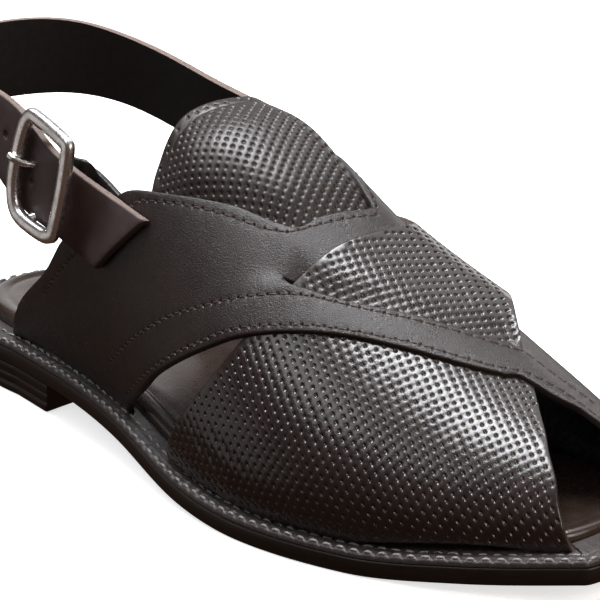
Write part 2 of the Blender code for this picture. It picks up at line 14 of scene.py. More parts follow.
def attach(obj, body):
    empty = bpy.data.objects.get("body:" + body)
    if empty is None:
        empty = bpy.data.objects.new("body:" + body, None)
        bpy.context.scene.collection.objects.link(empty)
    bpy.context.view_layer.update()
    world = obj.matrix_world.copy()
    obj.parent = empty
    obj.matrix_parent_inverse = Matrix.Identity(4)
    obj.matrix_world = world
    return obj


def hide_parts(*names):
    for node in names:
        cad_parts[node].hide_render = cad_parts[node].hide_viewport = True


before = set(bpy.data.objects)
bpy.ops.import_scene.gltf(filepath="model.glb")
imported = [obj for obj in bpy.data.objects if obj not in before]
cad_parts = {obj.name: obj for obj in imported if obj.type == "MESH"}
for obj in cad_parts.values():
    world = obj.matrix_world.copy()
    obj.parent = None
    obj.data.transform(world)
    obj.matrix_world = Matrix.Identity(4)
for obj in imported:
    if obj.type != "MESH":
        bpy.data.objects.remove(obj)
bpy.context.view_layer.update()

MM = 0.001
LENGTH = 290.0
HEEL_CENTRE = 34.0
HEEL_ROUND = 50.0
HEEL_BREAST = 71.0
HEEL_HEIGHT = 10.2
TOE_CORNER = 287.0
TOE_MIDDLE = 5.0
HEEL_POWER = 2.3
OUTSOLE_THICK = 5.3
WELT_THICK = 2.0
INSOLE_RISE = 4.6
INSOLE_ROLL = 2.6
INSOLE_DISH = 1.2
GAP = 0.3
LEATHER = 2.2
STRAP_ONE_THICK = 2.4
STRAP_ONE_FOOT = 0.15
BITE = 0.8
STRAP_ONE_LIFT = 5.5
SLIT_ENDS = (-0.378, 0.055)
FAR_FORK = 0.36
TONGUE_THICK = 4.0
TONGUE_PUFF = 6.3
TONGUE_CLEAR = 0.6
ANKLE_THICK = 2.4
ANKLE_CLEAR = 0.5
ANCHOR_THICK = 1.6
ANCHOR_WIDTH = 17.0
ANCHOR_DOWN = 3.6
ANCHOR_CLEAR = 0.8
ANCHOR_LEAVES = (4.5, 1.6, 0.6)
FRAME_OUT = 3.6
BAR = 1.5
BAR_IN = 6.0
BAR_BACK = -3.0
PRONG = 1.1
FRAME_WIRE = (2.35, 1.85, 2.5)
BUCKLE_CENTRE = (90.8, -42.6, 85.9)
BUCKLE_ALONG = (0.985, 0.0, -0.15)
BUCKLE_ACROSS = (0.15, 0.14, 0.98)

# Rim, bar and prong of the buckle, counted from its middle: along the strap, across it and outwards.
FRAME_RIM = ((-10.6, 16.6), (-8.6, 17.3), (-1.0, 16.2), (6.4, 14.6), (8.3, 12.8), (8.6, 0.0), (7.6, -13.6),
             (5.8, -16.2), (2.0, -16.9), (-7.0, -16.0), (-11.6, -13.4), (-13.7, -8.0), (-14.3, -2.0),
             (-13.8, 5.0), (-12.6, 13.0))
BAR_PLACES = ((-8.0, 16.4, FRAME_OUT), (BAR_BACK, 9.5, -BAR_IN), (BAR_BACK, -12.5, -BAR_IN),
              (-7.0, -16.0, FRAME_OUT))
PRONG_PLACES = ((-9.0, 1.0, 0.4), (-9.7, 1.2, 2.6), (-11.2, 1.6, 4.8), (-12.7, 2.2, 6.1), (-14.6, 2.7, 6.3))

CAMERA_PLACE = (0.78772, -0.58795, 0.39317)
CAMERA_AZIMUTH = 48.67
CAMERA_ELEVATION = 21.033
CAMERA_ROLL = -2.028
CAMERA_LENS = 190.05

PIT_DEPTH = 2.2
WELT_PITCH = 4.46
WELT_STEPS = 8
STITCH_PITCH = 3.5
STITCH_LENGTH = 2.6
STITCH_SINK = 0.55
STITCH_LIFT = 0.02
STITCH_HOLE = 0.58
STITCH_HOLE_DEPTH = 0.5
THREAD = 0.27
THREAD_SIDES = 7
THREAD_TAPER = 0.45
STRAP_HOLE = 1.15
CUT_END = 0.5
CUT_SIDE = -9.5
GIRTH_LENGTH = 105.0
DIMPLE = 0.68
DIMPLE_DEPTH = 0.52
TONGUE_DIMPLE = 0.78
TONGUE_DIMPLE_DEPTH = 0.55
STRAP_LATTICE = ((2.42, -0.90), (0.0, -2.37))
TONGUE_LATTICE = ((2.10, 1.20), (0.87, -1.65))
# Start of each lattice in the chart, and how its rows widen, step and lean.
STRAP_SPREAD = ((230.0, 0.0), 0.0052, 0.86, 0.40)
TONGUE_SPREAD = ((140.0, 0.0), 0.009, 0.97, 0.0)
TONGUE_HALF = 0.54
CHUNK = 4000
SHARP = 60
SOLE_POINTS = 420
HEEL_POINTS = 220
SEAT_POINTS = 360
SPOT_GAP = math.sqrt(0.8)
SKY_COLOURS = ((0.075, 0.045, 0.032, 1), (0.16, 0.16, 0.165, 1))
FLOOR_HALF = 4
FLOOR_HEIGHT = -0.0002

# Rings of a dimple: share of its radius, share of its depth and number of points.
DIMPLE_RINGS = ((0, 1.0, 1), (0.36, 0.80, 6), (0.70, 0.42, 8), (0.97, 0.12, 8), (1.28, 0.0, 8))

# Groove along the tongue's edge: distance of the groove, and (shift, depth) of the lines that press it.
BORDER_IN = 3.6
BORDER_LINES = ((-0.7, 0.0), (-0.35, 0.14), (0.0, 0.22), (0.35, 0.14), (0.7, 0.0))

# Levels of the sole and the heel: distance inside the sole's edge, and height.
OUTSOLE_LEVELS = ((0.6, 0.0), (0.15, 0.25), (0.0, 0.8), (0.0, 2.6), (0.0, 4.6), (0.12, 5.0),
                  (0.4, OUTSOLE_THICK))
HEEL_LEVELS = ((1.3, 0.0), (1.0, 0.3), (0.85, 2.7), (1.05, 3.0), (1.25, 3.2), (1.25, 3.6), (0.95, 3.8),
               (0.8, 6.4), (0.95, 6.6), (0.75, 6.8), (0.6, 9.9), (0.8, HEEL_HEIGHT))
HEEL_SLOPE = 0.25

# Face of the insole inside its rolled edge: distance from the edge, and depth under its top.
SEAT_FACE = ((4.2, 0.10), (5.2, 0.55), (6.0, 0.75), (6.8, 0.6), (8.0, 0.5))

# Face of the welt: distance from the rim, height, and shares of the scallops, the grooves and the ripple
# with the ripple's shift.
WELT_FACE = (
    (0.8, 0.0, 0.25, 0.40, 0.0, 0),
    (1.6, 0.0, 0.10, 0.35, 0.0, 0),
    (2.3, -0.32, 0.0, 0.0, 0.10, 0),
    (2.9, -0.12, 0.0, 0.0, 0.16, 1),
    (3.5, -0.10, 0.0, 0.0, 0.16, 2),
    (4.1, -0.28, 0.0, 0.0, 0.12, 4),
    (4.8, -0.15, 0.0, 0.0, 0.16, 30),
    (5.6, -0.08, 0.0, 0.0, 0.12, 31),
    (6.6, 0.0, 0.0, 0.0, 0.0, 0),
)


class Table:
    """Rows of named columns, read along the first column with a natural cubic spline."""

    def __init__(self, columns, rows):
        data = np.array(rows, float)
        self.key = data[:, 0]
        self.values = dict(zip(columns[1:], data[:, 1:].T))
        self.bends = {name: self.second_slopes(column) for name, column in self.values.items()}

    def second_slopes(self, column):
        step = np.diff(self.key)
        count = len(self.key)
        matrix = np.eye(count)
        right = np.zeros(count)
        for i in range(1, count - 1):
            matrix[i, i - 1:i + 2] = step[i - 1], 2 * (step[i - 1] + step[i]), step[i]
            right[i] = 6 * ((column[i + 1] - column[i]) / step[i] - (column[i] - column[i - 1]) / step[i - 1])
        return np.linalg.solve(matrix, right)

    def at(self, name, where):
        where = np.clip(np.asarray(where, float), self.key[0], self.key[-1])
        i = np.clip(np.searchsorted(self.key, where) - 1, 0, len(self.key) - 2)
        step = self.key[i + 1] - self.key[i]
        b = (where - self.key[i]) / step
        a = 1 - b
        column, bend = self.values[name], self.bends[name]
        curve = (a ** 3 - a) * bend[i] + (b ** 3 - b) * bend[i + 1]
        return a * column[i] + b * column[i + 1] + curve * step ** 2 / 6


class Edges(Table):
    """Rows of named edges, read with local slopes so that a sharp turn stays in its own rows."""

    def at(self, name, where):
        column = self.values[name]
        step = np.diff(self.key)
        rate = np.diff(column) / step
        slope = np.concatenate([rate[:1], np.zeros(len(rate) - 1), rate[-1:]])
        same = rate[:-1] * rate[1:] > 0
        low = np.minimum(np.abs(rate[:-1]), np.abs(rate[1:]))
        mean = (rate[:-1] * step[1:] + rate[1:] * step[:-1]) / (step[:-1] + step[1:])
        slope[1:-1] = np.where(same, np.sign(mean) * np.minimum(np.abs(mean), 3 * low), 0)
        where = np.clip(np.asarray(where, float), self.key[0], self.key[-1])
        i = np.clip(np.searchsorted(self.key, where) - 1, 0, len(self.key) - 2)
        s = (where - self.key[i]) / step[i]
        start = (1 + 2 * s) * (1 - s) ** 2 * column[i] + s * (1 - s) ** 2 * step[i] * slope[i]
        end = s * s * (3 - 2 * s) * column[i + 1] + s * s * (s - 1) * step[i] * slope[i + 1]
        return start + end


SOLE = Table(("x", "outer", "inner", "welt"), (
    (50, -33.5, 35.0, 8.6),
    (80, -37.8, 36.0, 8.6),
    (115, -44.3, 33.5, 8.7),
    (150, -52.4, 36.0, 8.8),
    (185, -55.4, 43.0, 9.0),
    (210, -51.9, 46.5, 9.3),
    (235, -44.2, 46.0, 9.8),
    (260, -33.5, 40.5, 11.0),
    (287, -17.5, 27.5, 12.2),
))

PROFILE = Edges(("x", "z"), (
    (0, 10.5), (74, 10.5), (115, 8.2), (155, 1.7), (186, 0), (222, 0), (255, 3.3), (290, 7.6),
))

LAST = Table(("x", "ridge_y", "ridge_z", "swell_outer", "swell_inner", "round_outer", "round_inner"), (
    (30, 0, 150, 3.0, 3.0, 3.2, 3.2),
    (70, 2, 140, 3.0, 3.0, 3.0, 3.0),
    (110, 5, 117, 3.5, 3.0, 2.6, 2.6),
    (150, 9, 96.5, 4.0, 3.0, 2.1, 2.2),
    (185, 11, 73.5, 4.0, 3.0, 2.1, 2.1),
    (210, 12, 59.5, 4.0, 3.0, 2.2, 2.1),
    (235, 12, 47.5, 3.5, 3.0, 2.3, 2.2),
    (260, 11, 38, 2.5, 2.5, 2.4, 2.3),
    (288, 8, 28, 1.5, 1.5, 2.4, 2.4),
))

PLAIN = Edges(("girth", "collar", "slit_back", "slit_front", "front"), (
    (-1.00, 44.0, 103.0, 106.0, 117.5),
    (-0.94, 66.0, 110.5, 113.5, 128.5),
    (-0.84, 83.0, 126.0, 129.0, 140.6),
    (-0.70, 102.0, 141.0, 144.0, 157.4),
    (-0.56, 115.3, 154.0, 157.0, 174.2),
    (-0.48, 127.8, 162.0, 165.0, 184.3),
    (-0.40, 140.8, 170.5, 173.5, 195.0),
    (-0.34, 151.2, 180.4, 183.4, 203.8),
    (-0.30, 159.6, 187.4, 190.4, 210.0),
    (-0.27, 164.8, 191.7, 194.7, 214.3),
    (-0.24, 167.4, 195.4, 198.4, 218.8),
    (-0.18, 168.7, 202.3, 205.3, 227.0),
    (-0.10, 170.9, 212.4, 215.4, 235.8),
    (-0.05, 172.4, 218.2, 221.2, 240.5),
    (-0.03, 173.0, 220.4, 223.4, 248.0),
    (0.01, 173.4, 224.4, 227.4, 257.5),
    (0.05, 168.5, 226.8, 229.8, 265.5),
    (0.15, 158.5, 215.0, 227.0, 271.5),
    (0.25, 149.0, 201.0, 219.0, 274.5),
    (0.36, 139.0, 186.0, 210.0, 276.0),
    (0.56, 115.3, 163.0, 204.5, 277.5),
    (0.70, 102.0, 147.0, 202.0, 278.0),
    (0.84, 83.0, 131.0, 200.0, 278.0),
    (0.94, 66.0, 122.0, 198.5, 278.0),
    (1.00, 44.0, 117.0, 198.0, 278.0),
))

STRAP_ONE = Edges(("girth", "back", "front"), (
    (-1.00, 143.5, 278.5),
    (-0.90, 152.0, 277.2),
    (-0.76, 163.2, 275.5),
    (-0.60, 171.5, 272.5),
    (-0.45, 175.5, 269.2),
    (-0.30, 177.7, 262.8),
    (-0.19, 178.6, 256.8),
    (-0.04, 181.0, 243.0),
    (0.03, 181.7, 234.5),
    (0.07, 181.8, 229.6),
    (0.11, 181.6, 225.9),
    (0.15, 181.2, 221.4),
    (0.21, 179.4, 215.6),
    (0.25, 177.5, 212.6),
    (0.32, 172.0, 208.6),
    (0.50, 155.0, 200.0),
    (0.70, 135.0, 190.0),
    (0.85, 120.0, 182.0),
    (1.00, 106.0, 176.0),
))

TONGUE = Edges(("girth", "back", "front"), (
    (-0.54, 120.0, 133.0),
    (-0.50, 118.9, 144.0),
    (-0.44, 118.4, 156.0),
    (-0.36, 118.0, 170.0),
    (-0.26, 118.6, 184.0),
    (-0.12, 121.9, 189.0),
    (0.00, 125.0, 190.0),
    (0.12, 126.5, 189.0),
    (0.26, 124.5, 184.0),
    (0.36, 120.5, 170.0),
    (0.44, 120.5, 156.0),
    (0.50, 120.8, 144.0),
    (0.54, 121.5, 133.0),
))

ANKLE = (
    ((100.0, 39.0, 86.8), (88.0, 42.5, 64.5)),
    ((74.0, 40.5, 92.6), (64.0, 43.0, 69.3)),
    ((50.0, 39.5, 97.4), (44.0, 41.0, 73.6)),
    ((30.0, 35.5, 102.0), (26.0, 36.5, 78.0)),
    ((14.0, 26.5, 106.0), (11.5, 26.8, 80.6)),
    ((3.5, 13.0, 107.3), (2.5, 13.0, 81.2)),
    ((0.0, -2.0, 107.3), (-0.5, -2.0, 81.4)),
    ((4.5, -16.5, 107.3), (4.0, -17.0, 81.6)),
    ((18.0, -29.0, 107.4), (17.5, -30.0, 82.0)),
    ((38.0, -36.5, 107.4), (37.5, -38.0, 82.6)),
    ((60.0, -39.5, 106.8), (57.5, -41.5, 82.6)),
    ((76.4, -40.5, 102.3), (70.0, -43.7, 77.2)),
    ((85.8, -41.0, 96.4), (81.0, -44.3, 72.2)),
    ((96.5, -41.0, 91.2), (92.2, -43.6, 68.4)),
)
ANKLE_FAR_END = (((127.0, 80.5), (109.0, 58.5)), ((120.0, 82.5), (103.0, 60.0)),
                 ((113.0, 84.0), (97.0, 62.0)))
ANKLE_TAIL = (((112.5, 82.2), (100.2, 61.4)), ((119.5, 80.7), (103.8, 60.7)), ((126.2, 79.2), (107.0, 60.1)))
# Holes of the ankle strap: distance from the end of its tail, and side.
ANKLE_HOLES = ((27.4, -2.0), (39.4, -2.8), (55.6, 2.0), (62.6, 2.0))
# Rows of the short strap on the quarter, and how far each stands out.
ANCHOR_END = (((95.0, 86.5), (91.0, 69.8)), ((101.0, 83.9), (97.0, 67.0)), ((108.0, 81.0), (104.0, 64.0)),
              ((116.0, 77.8), (111.0, 62.0)))
ANCHOR_OUT = (0.8, 0.2, 0.0, 0.0)

# Seams of the plain straps as places (x, girth): both sides of the band, and the collar.
BAND_LOW = ((121.2, -0.965), (138, -0.844), (146.2, -0.772), (157.8, -0.673), (164.5, -0.613), (172.2, -0.55),
            (183.5, -0.463), (190.5, -0.409), (200.2, -0.343), (206.8, -0.298), (212.2, -0.256),
            (225.2, -0.166), (232.2, -0.106), (238.4, -0.034), (244.2, -0.007), (250.8, 0.02), (258.5, 0.06),
            (263, 0.11))
BAND_HIGH = ((111.2, -0.946), (125.2, -0.85), (136, -0.76), (144, -0.688), (153.8, -0.61), (160, -0.556),
             (166.8, -0.499), (172, -0.457), (177.8, -0.406), (183.2, -0.361), (191.4, -0.31),
             (197.5, -0.269), (203.2, -0.224), (209.5, -0.172), (213.5, -0.139), (220.8, -0.076),
             (227.2, -0.022), (232, 0.045), (237.8, 0.09), (245.5, 0.149), (255, 0.22))
COLLAR_SEAM = ((70, -0.95), (87, -0.862), (105.2, -0.722), (112.5, -0.64), (120, -0.556), (127.5, -0.508),
               (134.5, -0.464), (141, -0.428), (147, -0.396), (153.5, -0.364), (160, -0.332), (166.6, -0.282),
               (168.4, -0.244), (170.8, -0.184), (173.4, -0.104), (176.2, -0.004), (173, 0.055),
               (163.5, 0.155), (154, 0.26), (143, 0.375), (119, 0.575), (105.2, 0.722), (87, 0.862),
               (70, 0.95))

# Soft folds as places (x, girth) of both ends, height and half breadth in millimetres.
PLAIN_FOLDS = (((166.4, -0.29), (174.6, -0.372), 0.55, 3.2),)
STRAP_FOLDS = (((163.0, -0.93), (178.0, -0.97), -0.16, 1.3), ((165.0, -0.88), (184.0, -0.93), -0.2, 1.3),
               ((170.0, -0.83), (186.0, -0.875), -0.14, 1.3), ((236.0, -0.36), (247.0, -0.56), -0.14, 2.0))


def smooth_step(value):
    value = np.clip(value, 0, 1)
    return value * value * (3 - 2 * value)


def unit(vectors):
    return vectors / np.linalg.norm(vectors, axis=-1, keepdims=True)


def reach_along(line):
    """Length of a line up to each of its points."""
    return np.concatenate([[0], np.cumsum(np.linalg.norm(np.diff(line, axis=0), axis=1))])


def point_at(line, reach, where):
    """Points of a line where its length is as given."""
    return np.stack([np.interp(where, reach, column) for column in line.T], -1)


# Shape of the last and the sole

def feather_height(x):
    return PROFILE.at("z", x) + OUTSOLE_THICK + WELT_THICK + GAP


def last(x, girth):
    """Point of the last at x and girth: -1 outer feather edge, 0 ridge, 1 inner feather edge."""
    x, girth = np.broadcast_arrays(np.asarray(x, float), np.asarray(girth, float))
    outer = girth < 0
    angle = (1 - np.abs(girth)) * math.pi / 2
    power = 2 / np.where(outer, LAST.at("round_outer", x), LAST.at("round_inner", x))
    side, up = np.cos(angle) ** power, np.clip(np.sin(angle), 0, 1) ** power
    inset = SOLE.at("welt", x) - 0.8
    feather = np.where(outer, SOLE.at("outer", x) + inset, SOLE.at("inner", x) - inset)
    swell = np.where(outer, -LAST.at("swell_outer", x), LAST.at("swell_inner", x))
    ridge_y = LAST.at("ridge_y", x)
    base = feather_height(x)
    y = ridge_y + (feather - ridge_y) * side + swell * np.sin(math.pi * up ** 0.55)
    z = base + (LAST.at("ridge_z", x) - base) * up
    return np.stack([x, y, z], -1)


def last_normal(x, girth):
    girth = np.asarray(girth, float)
    along = last(np.asarray(x) + 0.5, girth) - last(np.asarray(x) - 0.5, girth)
    around = last(x, np.clip(girth + 0.004, -1, 1)) - last(x, np.clip(girth - 0.004, -1, 1))
    return unit(np.cross(along, around))


def over_last(x, girth, offset, foot=0.0):
    """Point at a distance outside the last, kept above the welt by the given foot."""
    point = last(x, girth) + last_normal(x, girth) * np.asarray(offset, float)[..., None]
    point[..., 2] = np.maximum(point[..., 2], feather_height(point[..., 0]) + foot)
    return point


def on_wall(x, z, side, offset):
    """Point outside the last at x and z, on the outer (-1) or inner (1) wall."""
    low, high = 0.0, 1.0
    for _ in range(40):
        girth = (low + high) / 2
        point = over_last(np.array(x), np.array(side * girth), np.array(offset))
        if point[2] > z:
            low = girth
        else:
            high = girth
    return point


class Chart:
    """The last laid flat: x along the foot and s, the length round the section from the ridge."""

    def __init__(self):
        self.x = np.linspace(36, 288, 127)
        self.girth = np.linspace(-1, 1, 801)
        points = last(self.x[:, None], self.girth[None, :])
        step = np.linalg.norm(np.diff(points, axis=1), axis=2)
        reach = np.concatenate([np.zeros((len(self.x), 1)), np.cumsum(step, axis=1)], 1)
        self.s = reach - reach[:, 400:401]

    def between(self, x, value, rule):
        """Values read in the two sections beside each x, where rule(value, k) reads section k."""
        place = np.clip((x - self.x[0]) / (self.x[1] - self.x[0]), 0, len(self.x) - 1.001)
        found = np.empty(x.shape)
        for k in np.unique(place.astype(int)):
            at = place.astype(int) == k
            low, high = rule(value[at], k), rule(value[at], k + 1)
            found[at] = low + (high - low) * (place[at] % 1)
        return found

    def flat(self, x, girth):
        """Places (x, girth) as points of the chart."""
        x, girth = np.broadcast_arrays(np.asarray(x, float), np.asarray(girth, float))
        s = self.between(x, girth, lambda value, k: np.interp(value, self.girth, self.s[k]))
        return np.stack([x, s], -1)

    def girth_at(self, points):
        return self.between(*points.T, lambda value, k: np.interp(value, self.s[k], self.girth))


CHART = Chart()


def plain_offset(x, girth):
    """Height of the inside of the plain straps over the last."""
    rise = smooth_step((girth + 0.70) / 0.12) * (1 - smooth_step(girth / 0.14))
    rise *= smooth_step((x - STRAP_ONE.at("back", girth) + 14) / 12)
    arm = 1 - smooth_step((girth + 0.50) / 0.10)
    back, front = PLAIN.at("slit_back", girth), PLAIN.at("slit_front", girth)
    share = smooth_step((x - back) / (front - back))
    base = (STRAP_ONE_THICK - BITE) * rise * (share + (1 - share) * arm) - pit(x, girth) * (1 - share)
    return base + folds(PLAIN_FOLDS, x, girth)


def pit(x, girth):
    """Dip of the plain strap where strap one comes out from under the band."""
    return PIT_DEPTH * np.exp(-((x - 178.5) / 5.0) ** 2 - ((girth + 0.343) / 0.05) ** 2)


def folds(rows, x, girth):
    """Height of soft folds, each along a short straight line."""
    height = np.zeros(np.broadcast(x, girth).shape)
    for (x0, g0), (x1, g1), rise, half in rows:
        run, turn = x1 - x0, (g1 - g0) * GIRTH_LENGTH
        across_x, across_s = x - x0, (girth - g0) * GIRTH_LENGTH
        share = (across_x * run + across_s * turn) / (run ** 2 + turn ** 2)
        near = np.clip(share, 0, 1)
        away = (across_x - near * run) ** 2 + (across_s - near * turn) ** 2
        height += rise * np.exp(-away / half ** 2)
    return height


def strap_one_offset(x, girth):
    slit_back, slit_front = PLAIN.at("slit_back", girth), PLAIN.at("slit_front", girth)
    over = 1 - smooth_step((x - slit_back + 9) / (slit_front - slit_back + 9))
    beyond = smooth_step((girth - SLIT_ENDS[1] + 0.06) / 0.16)
    over = np.maximum(over, beyond) * smooth_step((girth - SLIT_ENDS[0] + 0.01) / 0.05)
    free = np.maximum(smooth_step((slit_back - x) / 14), smooth_step((girth - SLIT_ENDS[1] + 0.04) / 0.2))
    stand = smooth_step((girth + 0.05) / 0.32) * (1 - smooth_step((girth - 0.45) / 0.4))
    lift = STRAP_ONE_LIFT * free * stand * np.clip((x - 170) / 50, 0, 1.1)
    return (LEATHER - BITE) * over + lift - pit(x, girth) * over


def tongue_thickness(x, girth):
    across = 1 - (np.abs(girth) / TONGUE.key[-1]) ** 6
    back, front = TONGUE.at("back", girth), TONGUE.at("front", girth)
    along = 1 - np.abs(2 * (x - back) / (front - back) - 1) ** 6
    return TONGUE_THICK * (0.45 + 0.55 * np.clip(np.minimum(across, along), 0, 1))


def tongue_top(x, girth):
    bare = smooth_step((PLAIN.at("collar", girth) - x + 8) / 18)
    edge = smooth_step((x - TONGUE.at("back", girth)) / 14)
    lean = smooth_step((-girth - 0.02) / 0.34) * smooth_step((PLAIN.at("collar", girth) - x + 4) / 18)
    return TONGUE_PUFF * (0.8 * bare + 0.7 * lean) * (edge - 0.35) - TONGUE_CLEAR


class Field:
    """Height over the last on an even grid, softened so that the leather bends gently."""

    def __init__(self, rule, x, girth, soft):
        self.x, self.girth = x, girth
        grid = rule(*np.meshgrid(x, girth, indexing="ij"))
        for axis, spread in enumerate(soft):
            reach = np.arange(-3 * spread, 3 * spread + 1)
            weight = np.exp(-0.5 * (reach / spread) ** 2)
            edges = [(0, 0), (0, 0)]
            edges[axis] = (3 * spread, 3 * spread)
            wide = np.pad(grid, edges, "edge")
            grid = np.apply_along_axis(np.convolve, axis, wide, weight / weight.sum(), "valid")
        self.grid = grid

    def at(self, x, girth):
        a = np.clip((x - self.x[0]) / (self.x[1] - self.x[0]), 0, len(self.x) - 1.001)
        b = np.clip((girth - self.girth[0]) / (self.girth[1] - self.girth[0]), 0, len(self.girth) - 1.001)
        i, j = a.astype(int), b.astype(int)
        u, v = a - i, b - j
        low = self.grid[i, j] * (1 - v) + self.grid[i, j + 1] * v
        high = self.grid[i + 1, j] * (1 - v) + self.grid[i + 1, j + 1] * v
        return low * (1 - u) + high * u


def sole_side(x, side, inset, heel_inset, toe_inset):
    """y of the sole's edge at x, moved in by inset, closed by a round heel and a bowed square toe."""
    sign = 1 if side == "inner" else -1
    corner = TOE_CORNER - toe_inset
    edge = SOLE.at(side, np.clip(x, HEEL_ROUND, corner)) - sign * inset
    heel = np.clip((HEEL_ROUND - x) / (HEEL_ROUND - heel_inset), 0, 1)
    toe = np.clip((x - corner) / (LENGTH - TOE_CORNER), 0, 1)
    edge = TOE_MIDDLE + (edge - TOE_MIDDLE) * np.sqrt(1 - toe ** 2)
    return edge * (1 - heel ** HEEL_POWER) ** (1 / HEEL_POWER)


def resample(points, count, closed=True):
    """The same line with its points evenly spread along it."""
    line = np.concatenate([points, points[:1]]) if closed else np.asarray(points, float)
    reach = reach_along(line)
    where = np.linspace(0, reach[-1], count, endpoint=not closed)
    return point_at(line, reach, where)


def sole_stations(heel_inset, toe_inset, front=None):
    """x of points along one side of the sole, closer together round the heel and the toe."""
    heel = HEEL_ROUND - (HEEL_ROUND - heel_inset) * np.cos(np.radians(np.linspace(0, 90, 60)))
    if front is not None:
        return np.concatenate([heel, np.linspace(HEEL_ROUND, front, 30)[1:]])
    corner = TOE_CORNER - toe_inset
    toe = corner + (LENGTH - TOE_CORNER) * np.sin(np.radians(np.linspace(0, 90, 24)))
    return np.concatenate([heel, np.linspace(HEEL_ROUND, corner, 160)[1:-1], toe])


def round_plan(x, count, *insets):
    """Closed plan through stations x, from the back of the heel round the outer side."""
    outer, inner = (np.stack([x, sole_side(x, side, *insets)], 1) for side in ("outer", "inner"))
    return resample(np.concatenate([outer, inner[::-1][:-1]]), count)


def sole_plan(inset, count, front=None):
    """Plan of the sole's edge moved in by inset."""
    return round_plan(sole_stations(inset, inset, front), count, inset, inset, inset)


def inward(loop):
    """Unit normals of a closed plan that point to its inside."""
    along = np.roll(loop, -1, 0) - np.roll(loop, 1, 0)
    normal = np.stack([-along[:, 1], along[:, 0]], 1)
    area = np.sum(loop[:, 0] * np.roll(loop[:, 1], -1) - loop[:, 1] * np.roll(loop[:, 0], -1))
    return unit(normal) * np.sign(area)


# Mesh building

def build(name, points, faces, looks, which=None):
    """Mesh object from points in millimetres, smooth but for its sharp edges."""
    mesh = bpy.data.meshes.new(name)
    place = (np.asarray(points, float) - (HEEL_CENTRE, 0, 0)) * MM
    mesh.from_pydata(place.tolist(), [], [tuple(int(c) for c in face) for face in faces])
    for look in looks:
        mesh.materials.append(look)
    if which is not None:
        mesh.polygons.foreach_set("material_index", np.asarray(which, np.int32))
    work = bmesh.new()
    work.from_mesh(mesh)
    bmesh.ops.recalc_face_normals(work, faces=work.faces[:])
    work.to_mesh(mesh)
    work.free()
    mesh.shade_smooth()
    mesh.set_sharp_from_angle(angle=math.radians(SHARP))
    made = bpy.data.objects.new(name, mesh)
    bpy.context.scene.collection.objects.link(made)
    return made


def edge_distance(points, loops):
    """Distance in the plane from each point to the nearest of the closed loops."""
    best = np.full(len(points), 1e9)
    for loop in loops:
        ends = np.roll(loop, -1, 0)
        for start in range(0, len(points), CHUNK):
            part = points[start:start + CHUNK, None, :]
            run = ends - loop
            share = np.clip(((part - loop) * run).sum(2) / np.maximum((run ** 2).sum(1), 1e-9), 0, 1)
            away = np.linalg.norm(part - loop - run * share[..., None], axis=2).min(1)
            best[start:start + CHUNK] = np.minimum(best[start:start + CHUNK], away)
    return best


def within(points, loops):
    """True where a point lies inside an odd number of the closed loops."""
    odd = np.zeros(len(points), bool)
    for loop in loops:
        ends = np.roll(loop, -1, 0)
        for start in range(0, len(points), CHUNK):
            x, y = points[start:start + CHUNK].T[:, :, None]
            cross = (loop[:, 1] > y) != (ends[:, 1] > y)
            rise = np.where(np.abs(ends[:, 1] - loop[:, 1]) < 1e-12, 1e-12, ends[:, 1] - loop[:, 1])
            at = loop[:, 0] + (y - loop[:, 1]) / rise * (ends[:, 0] - loop[:, 0])
            odd[start:start + CHUNK] ^= (cross & (x < at)).sum(1) % 2 == 1
    return odd


def hex_fill(loops, step, margin):
    """Points on an even triangular grid inside the loops, away from their edges."""
    low, high = loops[0].min(0), loops[0].max(0)
    rows = np.arange(low[1], high[1], step * 0.866)
    columns = np.arange(low[0], high[0], step)
    points = np.array([(x + (k % 2) * step / 2, y) for k, y in enumerate(rows) for x in columns])
    points = points[within(points, loops)]
    return points[edge_distance(points, loops) > margin]


def triangles(points, loops):
    """Triangles over all points that lie inside the loops, whose points come first."""
    edges = []
    start = 0
    for loop in loops:
        edges += [(start + i, start + (i + 1) % len(loop)) for i in range(len(loop))]
        start += len(loop)
    found = delaunay_2d_cdt([Vector(point) for point in points.tolist()], edges, [], 0, 1e-7)
    source = [ids[0] if ids else -1 for ids in found[3]]
    faces = np.array([[source[corner] for corner in face] for face in found[2]])
    faces = faces[(faces >= 0).all(1)]
    return faces[within(points[faces].mean(1), loops)]


def clear_of(grid, spots, gap):
    """Points of the grid that keep a gap to all spots, found through square cells."""
    cells = {}
    for x, y in spots:
        cells.setdefault((int(x // 2), int(y // 2)), []).append((x, y))
    free = []
    for x, y in grid:
        beside = [(int(x // 2) + i, int(y // 2) + j) for i in (-1, 0, 1) for j in (-1, 0, 1)]
        near = [spot for cell in beside for spot in cells.get(cell, ())]
        if all((x - a) ** 2 + (y - b) ** 2 > gap ** 2 for a, b in near):
            free.append((x, y))
    return np.array(free).reshape(-1, 2)


